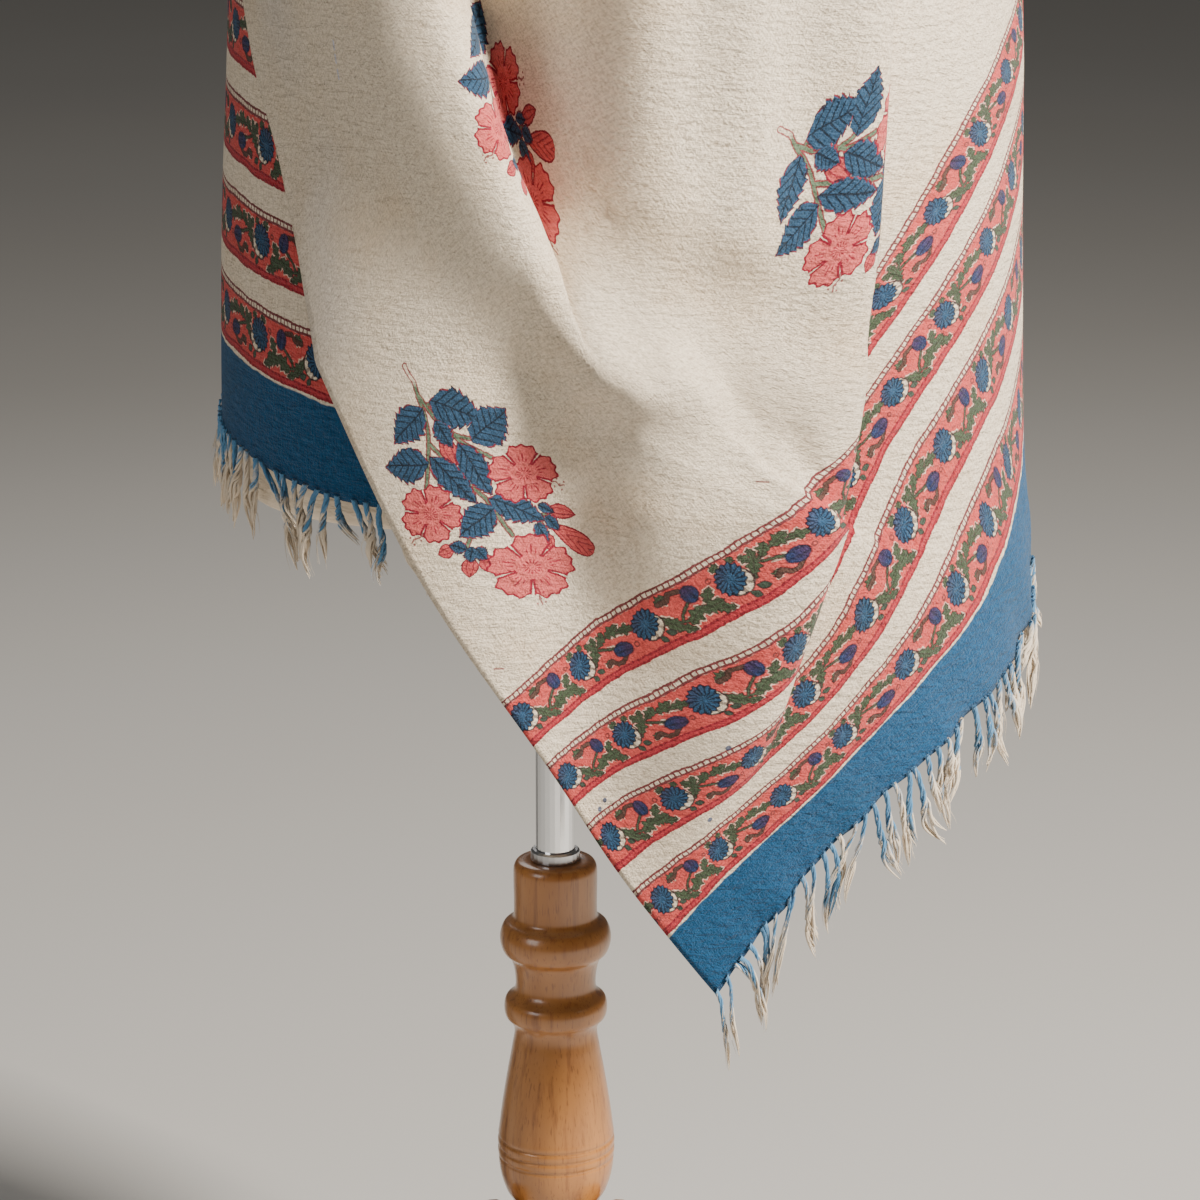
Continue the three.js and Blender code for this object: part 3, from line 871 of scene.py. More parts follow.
@dataclass(frozen=True)
class PlainWool:
    """Napped cream wool without print, as a base for the printed finishes.

    Args:
        name: the material's name.
        darns: three pale darning stitches, each a line in cloth mm.
        drips: specks of blue dye.
        dashes: short strokes left by a block's edge.
        stains: faint bluish patches.
        thread_gap_shade: painted shade in the gaps between threads, how much of each colour
            they keep.
    """

    name: str = "plain_wool"
    darns: tuple = (((112.8, 548.4), (109.8, 545.4)), ((107.6, 543.4), (105.0, 540.8)),
                    ((102.4, 538.0), (99.4, 535.0)))
    drips: tuple = (((13.9, 128.6), (14.4, 129.0)), ((20.3, 131.0), (20.8, 131.2)),
                    ((65.9, 87.4), (66.5, 87.8)), ((96.0, 128.0), (96.4, 128.2)))
    dashes: tuple = (((8.0, 238.4), (12.4, 235.0)), ((190.4, 239.0), (194.4, 235.8)))
    stains: tuple = (((14.0, 452.0), (30.0, 512.0)), ((60.0, 600.0), (96.0, 660.0)))
    thread_gap_shade: tuple = (0.62, 0.58, 0.54)

    def marked(self, graph: Graph, place, colour):
        """The colour with the cloth's own marks: darns, drips of dye, dashes and stains."""
        haze = (1.0 - graph.strokes(place, self.stains) * 0.022).maximum(0.0)
        colour = graph.mix(haze * 0.16, colour, Ink.STAIN)
        for lines, half, ink, share in (
                (self.drips, 1.35, Ink.DRIP, 0.85),
                (self.dashes, 0.5, Ink.DASH, 0.8),
                (self.darns, 0.75, Ink.DARN, 0.9)):
            colour = graph.mix(graph.strokes(place, lines).below(half, 0.35) * share, colour,
                               ink)
        return colour

    def surface(self, graph: Graph, colour) -> dict:
        """Principled inputs for wool of this colour.

        Args:
            graph: the material's graph.
            colour: its colour before nap and marks.
        Returns:
            Values for Graph.finish.
        """
        uv = graph.cloth()
        colour = self.marked(graph, uv, colour)
        warp = graph.noise(graph.scaled(uv, (0.8, 0.2, 1.0)), 1.0, 2.0, 0.6)
        weft = graph.noise(graph.scaled(uv, (0.2, 0.8, 1.0)), 1.0, 2.0, 0.6)
        nap = graph.noise(uv, 0.85, 3.0, 0.75)
        crepe = graph.noise(graph.scaled(graph.objects(), (95.0, 95.0, 290.0)), 1.0, 3.0, 0.6)
        blotch = graph.noise(graph.scaled(uv, (0.012, 0.012, 1.0)), 1.0, 4.0, 0.6)
        # Painted shade: where the weave's bump height is low, in the gaps between threads, the
        # colour is darkened.
        shade = (nap - 0.5) * 1.5 + (warp - 0.5) * 0.9 + (weft - 0.5) * 0.9
        toned = graph.mix(blotch.ramp(0.45, 0.75) * 0.4, colour,
                          graph.mix(1.0, colour, Ink.WARM_CREAM, "MULTIPLY"))
        lit = graph.mix((shade + 0.5).ramp(0.05, 0.8),
                        graph.mix(1.0, toned, self.thread_gap_shade, "MULTIPLY"), toned)
        height = warp * 0.5 + weft * 0.55 + nap * 0.75
        threads = graph.bump(height, 1.0, 0.0014)
        return {
            "Base Color": lit,
            "Roughness": 0.95,
            "Sheen Weight": 0.12,
            "Sheen Roughness": 0.5,
            "Specular IOR Level": 0.15,
            "Normal": graph.bump(crepe, 0.75, 0.0034, threads),
        }

    def build(self):
        """The material."""
        graph = Graph(self.name)
        return graph.finish(self.surface(graph, Ink.CREAM))


@dataclass(frozen=True)
class PrintPlace:
    """Where a point lies in a print, and the unevenness of the dye there.

    Args:
        point: the place as a vector, in mm.
        x: its first part, along the repeat.
        y: its second part, down from the band's top or up from the stamp's middle.
        speck: fine noise.
        patch: broad noise.
    """

    point: object
    x: Term
    y: Term
    speck: Term
    patch: Term


@dataclass(frozen=True)
class BandPrint(PlainWool):
    """The fringed end's print: a blue hem and four bands of rosettes on a vine.

    Each band is a ladder line, coral ground with a two-rosette repeat, and a dashed edge.

    Args:
        hem: depth of the dyed hem, in mm.
        top: how far up the cloth the highest band starts.
        pitch: from one band, or one rosette, to the next.
        depth: depth of a band.
        rosette: radius of a rosette.
        leaves: (base, tip, half width) of each leaf in one repeat.
        vine: lines of the vine.
        scroll: lines of the scrolls.
        buds: (base, tip, half width) of each bud.
        rings: middles of the small rings.
        sprig: leaves under each rosette, from its middle.
        stagger: how far each band is moved along from the one above.
        petals: how many petals a rosette has.
        dash_pitch: from one dash to the next.
    """

    name: str = "band_print"
    hem: float = 45.0
    top: float = 221.0
    pitch: float = 47.0
    depth: float = 33.0
    rosette: float = 7.3
    leaves: tuple = (
        ((9.0, 17.5), (16.5, 27.0), 2.6), ((14.0, 24.5), (22.0, 28.5), 1.9),
        ((20.0, 25.5), (30.0, 19.5), 3.0), ((28.0, 22.5), (39.5, 22.0), 3.2),
        ((34.0, 24.5), (42.5, 28.0), 2.0), ((32.0, 20.0), (36.5, 13.0), 2.2),
        ((10.0, 9.6), (16.5, 6.8), 2.4), ((41.6, 8.6), (45.6, 5.0), 2.0),
        ((50.6, 8.4), (53.2, 5.2), 1.9), ((56.8, 19.5), (61.5, 11.0), 2.4),
        ((60.0, 13.0), (55.6, 7.2), 1.9), ((61.0, 12.5), (62.0, 6.2), 1.8),
        ((64.0, 13.0), (70.0, 7.2), 2.3), ((70.0, 11.2), (80.0, 8.6), 2.6),
        ((78.0, 11.5), (88.0, 13.8), 2.2), ((62.6, 25.6), (65.4, 21.6), 1.7),
    )
    vine: tuple = (
        ((9.0, 17.0), (16.0, 22.5), (23.5, 24.6), (31.0, 21.5), (38.5, 23.5)),
        ((24.5, 15.5), (19.0, 19.5), (17.2, 22.8)),
        ((56.5, 20.5), (60.0, 13.5), (71.5, 17.8)), ((60.5, 13.5), (69.0, 10.5), (86.0, 13.8)),
    )
    scroll: tuple = (
        ((23.5, 7.6), (18.5, 6.8), (16.0, 9.6), (11.0, 9.8)),
        ((76.5, 24.4), (73.0, 26.8), (69.4, 26.4), (66.4, 22.9), (63.6, 24.6)),
    )
    buds: tuple = (((28.6, 16.4), (26.2, 6.6), 4.0), ((70.6, 19.6), (82.0, 22.0), 4.0))
    rings: tuple = ((37.6, 10.6), (84.6, 21.6))
    sprig: tuple = (((7.6, 8.4), (12.4, 11.2), 1.6), ((4.0, 9.6), (6.8, 13.4), 1.5))
    stagger: float = 2.6
    petals: float = 15.0
    dash_pitch: float = 3.1

    def _ground(self, graph: Graph, at: PrintPlace, colour):
        """Coral ground, with a ladder line above it and a dashed edge below."""
        s, q = at.x, at.y
        coral = graph.mix(at.patch, Ink.CORAL, Ink.DEEP_CORAL)
        ground = abs(q - 16.6 - (s * 0.9).sin() * 0.25).below(12.3, 0.5)
        colour = graph.mix(ground, colour, coral)
        tail = abs(q - 30.8).below(2.2, 0.4)
        colour = graph.mix(tail, colour, coral)
        dash = (s * (2 * math.pi / self.dash_pitch) + q * 1.1).sin().ramp(-0.1, 0.3)
        rails = abs(q - 29.2).minimum(abs(q - 32.2)).below(0.62, 0.4)
        colour = graph.mix(tail * 0.75, colour, Ink.CRIMSON)
        colour = graph.mix((rails * dash).maximum(rails * 0.55) * 0.95, colour, Ink.RAIL)
        rung = abs((s * (math.pi / self.dash_pitch)).sin()).below(0.42, 0.3)
        rung = rung * abs(q - 2.2).below(1.8, 0.3)
        ladder = abs(abs(q - 2.2) - 1.6).below(0.66, 0.4).maximum(rung)
        return graph.mix(ladder * 0.95, colour, Ink.LADDER)

    def _growth(self, graph: Graph, at: PrintPlace, colour):
        """Vine, leaves and scrolls, each with a bare rim on one side."""
        s, q = at.x, at.y
        line = graph.strokes(at.point, self.vine)
        curl = graph.strokes(at.point, self.scroll)
        x, y, half = graph.nearest(at.point, self.leaves)
        fullness = (1.0 - x * x) * (1.0 + (x * 9.0).cos() * 0.28)
        leaf = (abs(y) - fullness * 1.16) * half
        growth = leaf.minimum(line - 0.75)
        bare = (at.patch + (s * 0.3 + q * 0.25).sin() * 0.12).ramp(0.45, 0.57)
        bare = growth.below(1.05, 0.4) * bare * abs(q - 17.0).below(12.0)
        colour = graph.mix(bare * 0.85, colour, Ink.CREAM)
        green = graph.mix(at.speck.ramp(0.35, 0.7), Ink.VINE_DARK, Ink.VINE_PALE)
        inside = growth.below(0.0)
        colour = graph.mix(inside, colour, green)
        rib = (abs(y) * half).below(0.3, 0.3) * inside * 0.5
        colour = graph.mix(abs(growth).below(0.42, 0.35) * 0.75 + rib, colour, Ink.VINE_LINE)
        colour = graph.mix(curl.below(1.25, 0.4), colour, Ink.SCROLL)
        colour = graph.mix(abs(curl - 1.25).below(0.32, 0.3) * 0.7, colour, Ink.SCROLL_LINE)
        for x, y in self.rings:
            ring = graph.stroke(at.point, ((x, y), (x + 0.1, y)))
            colour = graph.mix(abs(ring - 1.15).below(0.4, 0.3) * 0.8, colour, Ink.RING)
        return colour

    def _buds(self, graph: Graph, at: PrintPlace, colour):
        """Small striped buds."""
        x, y, half = graph.nearest(at.point, self.buds)
        bud = ((x * x + y * y) ** 0.5 - 1.0) * half
        inside = bud.below(0.0)
        violet = graph.mix((x * 0.5 + 0.5 + (at.speck - 0.5) * 0.6).ramp(0.1, 0.9),
                           Ink.BUD_BLUE, Ink.BUD_VIOLET)
        colour = graph.mix(inside, colour, violet)
        stripe = (y * 7.0).sin().ramp(0.25, 0.8)
        return graph.mix(inside * stripe * 0.6 + abs(bud).below(0.4, 0.35) * 0.6, colour,
                         Ink.BUD_LINE)

    def _rosettes(self, graph: Graph, at: PrintPlace, colour):
        """Rosettes twice in each repeat, with a bare crescent and a sprig under each."""
        x = (at.x + self.pitch / 2).wrap(0.0, self.pitch) - self.pitch / 2
        y = at.y - 15.0
        cx, cy = x - 2.4, y - 3.0
        moon = (cx * cx + cy * cy) ** 0.5 - 6.7
        radius = graph.measure("LENGTH", graph.join(x * 1.03 + y * 0.1, y * 0.97))
        bearing = y.bearing(x)
        edge = radius - self.rosette - (bearing * self.petals).sin() * 0.5
        colour = graph.mix(moon.below(0.0), colour, Ink.CREAM)
        hatch = (bearing * 11.0).sin().ramp(0.35, 0.8) * moon.below(0.0) * 0.8
        colour = graph.mix((abs(moon).below(0.45, 0.3) + hatch) * 0.85, colour,
                           Ink.CRESCENT_LINE)
        sx, sy, half = graph.nearest(graph.join(x, y), self.sprig)
        sprig = (abs(sy) - (1.0 - sx * sx)) * half
        colour = graph.mix(sprig.below(0.0), colour, Ink.SPRIG)
        colour = graph.mix(abs(sprig).below(0.35, 0.3) * 0.7, colour, Ink.SPRIG_LINE)
        blue = graph.mix((x * 0.09 + y * 0.11 + (at.speck - 0.5) * 0.7).ramp(-0.9, 0.1),
                         Ink.ROSETTE_VIOLET, Ink.ROSETTE_BLUE)
        blue = graph.mix(at.patch, blue, Ink.ROSETTE_PALE)
        rays = (bearing * self.petals + (at.patch - 0.5) * 9.0 + radius * 0.5).sin()
        rays = rays.ramp(0.0, 0.6) * radius.ramp(1.4, 2.8)
        inside = edge.below(0.0, 0.5)
        colour = graph.mix(inside, colour, blue)
        return graph.mix(inside * rays * 0.85 + abs(edge).below(0.45, 0.35) * 0.8, colour,
                         Ink.ROSETTE_LINE)

    def build(self):
        """The material."""
        graph = Graph(self.name)
        uv = graph.cloth()
        v, u, _ = graph.split(uv)
        shift = graph.wander((-0.85, -0.85, 0.0), uv, 0.45, 1.7)
        shift = graph.wander(shift, uv, 0.05, 3.0, 1.0, 0.5)
        dx, dy, _ = graph.split(shift)
        below = self.top - (u + dy - 1.5)
        row = (below / self.pitch).floor()
        y = below - row * self.pitch
        x = (v + dx - 1.5 - row * self.stagger - 5.0).wrap(-6.0, 2 * self.pitch - 6.0)
        at = PrintPlace(graph.join(x, y), x, y, graph.noise(uv, 2.6, 2.0, 0.7),
                        graph.noise(uv, 0.22, 3.0, 0.6))
        colour = Ink.CREAM
        for layer in (self._ground, self._growth, self._buds, self._rosettes):
            colour = layer(graph, at, colour)
        in_bands = y.below(self.depth, 0.4) * below.ramp(-0.2, 0.2)
        colour = graph.mix(in_bands, Ink.CREAM, colour)
        dye = graph.mix(at.patch * 0.9 + (at.speck - 0.5) * 0.9, Ink.HEM_DARK, Ink.HEM_PALE)
        hem = u + (graph.noise(uv, 0.08, 2.0, 0.6) - 0.5) * 3.0
        hem = hem.below(self.hem + 0.6, 0.9)
        colour = graph.mix(hem, colour, dye)
        thin = graph.noise(uv, 1.7, 3.0, 0.75).ramp(0.6, 0.86) * (0.45 - hem * 0.25)
        return graph.finish(self.surface(graph, graph.mix(thin, colour, Ink.CREAM)))


@dataclass(frozen=True)
class SprayPrint(PlainWool):
    """A stamped spray of leaves and five-petalled flowers, in mm from the stamp's middle.

    Args:
        leaves: (base, tip, half width) of each leaf.
        buds: the same of each bud.
        bursting: the same of the opening bud.
        flowers: each flower's leftmost and rightmost points and half height.
        stems: lines of the stems.
        tufts: (base, tip, half width) of each tuft of stamens.
        slits: how far the petals are turned, in radians.
        teeth: how close a leaf's teeth and veins lie.
    """

    name: str = "spray_print"
    leaves: tuple = (
        ((-23.0, 39.8), (8.2, 31.6), 10.6), ((1.2, 17.6), (21.4, 37.8), 11.6),
        ((-27.2, 36.2), (-46.6, 15.0), 9.4), ((-24.0, 5.6), (-52.6, 1.4), 9.6),
        ((-7.2, 17.4), (12.8, -12.8), 7.4), ((-23.8, 9.2), (4.8, -17.0), 7.0),
        ((9.8, -13.8), (44.6, -25.4), 7.2), ((13.8, -18.2), (-4.6, -36.0), 9.6),
        ((-20.0, 29.4), (-9.6, 14.2), 5.2), ((38.4, -17.2), (49.0, -19.8), 2.9),
        ((43.2, -22.8), (53.0, -29.2), 3.6), ((37.6, -26.6), (46.6, -37.0), 4.0),
        ((0.2, -42.4), (-10.4, -40.4), 3.6), ((2.6, -40.8), (2.6, -50.4), 4.0),
        ((4.4, -41.8), (12.0, -48.2), 3.7),
    )
    buds: tuple = (
        ((-16.6, 21.6), (-7.8, 3.8), 4.6), ((44.0, -18.9), (61.6, -18.4), 3.7),
        ((42.4, -32.0), (49.4, -40.6), 3.8), ((-6.6, -41.8), (-15.8, -46.2), 3.8),
        ((2.6, -46.4), (2.6, -58.4), 4.4), ((8.8, -44.8), (15.0, -54.8), 4.1),
    )
    bursting: tuple = (((47.2, -27.4), (72.6, -36.4), 8.0),)
    flowers: tuple = (
        ((10.3, -0.7), (50.5, 0.9), 16.6), ((-39.4, -17.0), (-5.2, -29.4), 15.8),
        ((12.4, -53.0), (61.8, -49.7), 17.8),
    )
    stems: tuple = (
        ((-37.8, 58.8), (-31.3, 50.0), (-29.4, 41.6), (-25.8, 31.4), (-24.2, 22.0),
         (-24.4, 9.0), (-25.3, -9.5)),
        ((-28.6, 41.6), (-20.7, 31.4), (-11.4, 24.0), (-4.9, 17.5), (4.4, 12.8),
         (11.8, 9.1)),
        ((-23.0, 15.6), (-14.2, 7.2), (-6.7, -0.2), (3.5, -9.5), (9.1, -14.1),
         (15.6, -22.5), (20.2, -29.0), (24.8, -34.1)),
        ((-23.4, 38.0), (-12.3, 35.6), (-2.0, 36.6)), ((-8.4, 21.6), (-1.2, 19.6), (8.0, 20.6)),
        ((1.6, -35.4), (-0.2, -42.0)), ((40.4, -23.4), (46.6, -19.4)),
        ((38.6, -23.4), (42.0, -28.0)),
    )
    tufts: tuple = (
        ((46.5, -2.2), (55.0, -4.0), 4.4), ((-25.0, -34.8), (-32.5, -40.4), 4.4),
        ((41.0, -62.0), (44.5, -72.5), 4.4),
    )
    slits: float = 0.35
    teeth: float = 3.3

    def _stems(self, graph: Graph, at: PrintPlace, colour):
        """Stems: green with maroon sides, bare at the cut end."""
        line = graph.strokes(at.point, self.stems)
        stem = graph.mix(at.y.ramp(46.0, 52.0), Ink.STEM, Ink.CREAM)
        colour = graph.mix(line.below(1.25, 0.35), colour, stem)
        return graph.mix(abs(line - 1.25).below(0.38, 0.3) * 0.9, colour, Ink.MAROON)

    def _bursting(self, graph: Graph, at: PrintPlace, colour):
        """The bursting bud: blunt, with petals nested one in another."""
        x, y, half = graph.nearest(at.point, self.bursting)
        swell = (1.0 - x * x).maximum(0.0) ** 0.5 * (0.66 + x * 0.32)
        bud = (abs(y) - swell + (x * x - 1.0).maximum(0.0) * 3.0) * half
        colour = graph.mix(bud.below(0.0), colour,
                           graph.mix(at.patch, Ink.NEST, Ink.NEST_DEEP))
        nest = (x * 2.0 - abs(y) * 3.1 + 3.0).wrap(0.0, 1.0)
        nest = abs(nest - 0.5).below(0.13, 0.1) * (bud + 0.9).below(0.0, 0.5)
        return graph.mix(nest * 0.8 + abs(bud).below(0.45, 0.3), colour, Ink.MAROON)

    def _buds(self, graph: Graph, at: PrintPlace, colour):
        """Buds, coral with a stroke down the middle."""
        x, y, half = graph.nearest(at.point, self.buds)
        bud = (abs(y) - (1.0 - x * x) * 1.05) * half
        inside = bud.below(0.0)
        colour = graph.mix(inside, colour, graph.mix(at.patch, Ink.BUD, Ink.BUD_DEEP))
        seam = abs(abs(y) - (1.0 - x * x) * 0.42) * half
        return graph.mix(inside * seam.below(0.34, 0.3) * 0.85 + abs(bud).below(0.42, 0.3),
                         colour, Ink.MAROON)

    def _leaves(self, graph: Graph, at: PrintPlace, colour):
        """Leaves, toothed, with a midrib and slanting veins."""
        x, y, half = graph.nearest(at.point, self.leaves)
        tooth = x * self.teeth - abs(y) * 0.9 + (at.patch - 0.5) * 0.7
        tooth = tooth.fraction() * 0.24
        fullness = (1.0 - x * x) * (1.16 - x * 0.34).maximum(0.4)
        leaf = (abs(y) - fullness + tooth * (1.1 - x * x).maximum(0.0)) * half
        inside = leaf.below(0.0, 0.4)
        blue = graph.mix(at.patch * 0.7 + at.speck * 0.4, Ink.LEAF, Ink.LEAF_PALE)
        colour = graph.mix(inside, colour, blue)
        veins = (x * self.teeth - abs(y) * 1.7).fraction() - 0.5
        veins = abs(veins).below(0.12, 0.12) * (leaf + 1.4).below(0.0, 0.8)
        rib = (abs(y + (x * 2.2).sin() * 0.08) * half).below(0.5, 0.3)
        colour = graph.mix(inside * veins.maximum(rib) * 0.85, colour, Ink.LEAF_VEIN)
        line = graph.mix(at.patch.ramp(0.42, 0.56), Ink.NIGHT, Ink.MAROON)
        return graph.mix(abs(leaf).below(0.52, 0.35) * 0.95, colour, line)

    def _flowers(self, graph: Graph, at: PrintPlace, colour):
        """Five-petalled flowers: scalloped petals with open slits between them."""
        x, y, half = graph.nearest(at.point, self.flowers)
        radius = (x * x + y * y) ** 0.5
        bearing = y.bearing(x)
        turned = bearing - self.slits
        sector = math.pi / 5
        across = abs((turned + sector).wrap(-sector, sector))
        rim = 0.82 + across.ramp(0.0, 0.3) * 0.17 + (turned * 20.0).cos() * 0.032
        gap = radius * across.sin() - radius.ramp(0.38, 0.85) * 0.03 - 0.026
        shut = 0.42 - radius + (turned * 5.0).sin() * 0.03
        petal = (radius - rim).maximum(-gap.maximum(shut)) * half
        inside = petal.below(0.0, 0.4)
        pink = graph.mix(at.patch * 0.8 + (at.speck - 0.5) * 0.5, Ink.PETAL, Ink.PETAL_DEEP)
        colour = graph.mix(inside, colour, pink)
        reach = 0.62 + (turned * 10.0).cos() * 0.1
        rays = (turned * 30.0).cos().ramp(0.2, 0.7) * radius.ramp(0.40, 0.46)
        rays = rays * (radius - reach).below(0.0, 0.08) * across.ramp(0.16, 0.3)
        heart = (bearing * 13.0 + at.patch * 6.0).sin().ramp(0.1, 0.6)
        heart = heart * radius.below(0.23, 0.06) * radius.ramp(0.04, 0.09)
        return graph.mix(inside * rays.maximum(heart) * 0.9 + abs(petal).below(0.55, 0.35),
                         colour, Ink.PETAL_RAY)

    def _stamens(self, graph: Graph, at: PrintPlace, colour):
        """Stamens: a stalk with a few dots at its end."""
        x, y, _ = graph.nearest(at.point, self.tufts)
        stalk = abs(y + (x * 5.0).sin() * 0.12).below(0.11, 0.08) * abs(x).below(1.0, 0.1)
        dots = ((x * 6.0).sin() * (y * 5.6).cos()).ramp(0.55, 0.75)
        dots = dots * (x * x + y * y).below(1.1, 0.2) * x.ramp(-0.6, -0.3)
        return graph.mix(stalk.maximum(dots) * 0.85, colour, Ink.MAROON)

    def build(self):
        """The material."""
        graph = Graph(self.name)
        uv = graph.cloth()
        place = graph.wander(graph.uv("stamp"), uv, 0.5, 1.5)
        place = graph.scaled(place, (1.0, 1.0, 0.0))
        x, y, _ = graph.split(place)
        at = PrintPlace(place, x, y, graph.noise(uv, 2.6, 2.0, 0.7),
                        graph.noise(uv, 0.25, 3.0, 0.6))
        colour = Ink.CREAM
        for layer in (self._stems, self._bursting, self._buds, self._leaves, self._flowers,
                      self._stamens):
            colour = layer(graph, at, colour)
        thin = graph.noise(uv, 1.7, 3.0, 0.75).ramp(0.62, 0.88) * 0.4
        return graph.finish(self.surface(graph, graph.mix(thin, colour, Ink.CREAM)))


# ---- Pieces ---------------------------------------------------------------------------------


def mesh_object(name: str, points: np.ndarray, faces, smooth: bool = True):
    """A mesh object from points in metres and a list or array of faces."""
    mesh = bpy.data.meshes.new(name)
    mesh.from_pydata(points.tolist(), [], [list(map(int, f)) for f in faces])
    mesh.validate()
    mesh.polygons.foreach_set("use_smooth", np.full(len(mesh.polygons), smooth))
    mesh.update()
    made = bpy.data.objects.new(name, mesh)
    bpy.context.scene.collection.objects.link(made)
    LOG.info("%s: %d faces", name, len(mesh.polygons))
    return made


def grid_faces(rows: int, columns: int) -> np.ndarray:
    """Quads of a rows by columns grid of points laid out row by row."""
    i, j = np.meshgrid(np.arange(rows - 1), np.arange(columns - 1), indexing="ij")
    a = (i * columns + j).ravel()
    return np.stack([a, a + 1, a + columns + 1, a + columns], -1)


def ring_faces(rings: int, sides: int) -> np.ndarray:
    """Quads that join rings of points, each ring closed on itself."""
    i, j = np.meshgrid(np.arange(rings - 1), np.arange(sides), indexing="ij")
    a, j = (i * sides).ravel(), j.ravel()
    n = (j + 1) % sides
    return np.stack([a + j, a + n, a + sides + n, a + sides + j], -1)


def face_corners(mesh) -> np.ndarray:
    """The point number of each face corner."""
    corners = np.empty(len(mesh.loops), dtype=np.int64)
    mesh.loops.foreach_get("vertex_index", corners)
    return corners


def set_uv(piece, coords: np.ndarray) -> None:
    """Gives a piece its cloth coordinates, a row of two numbers for each point."""
    layer = piece.data.uv_layers.new(name="cloth")
    corners = face_corners(piece.data)
    layer.data.foreach_set("uv", coords[corners].astype(np.float32).ravel())


def thicken(piece, wall: float) -> None:
    """Gives a sheet its thickness, inwards."""
    solid = piece.modifiers.new("wall", "SOLIDIFY")
    solid.thickness = wall
    solid.offset = -1.0


@dataclass
class Place:
    """Where the pole stands in the row frame, in metres."""

    x: float = 0.0
    y: float = 0.0

    def put(self, points: np.ndarray) -> np.ndarray:
        """Points in mm from the pole to metres in the row frame."""
        return points * MM + np.array([self.x, self.y, 0.0])


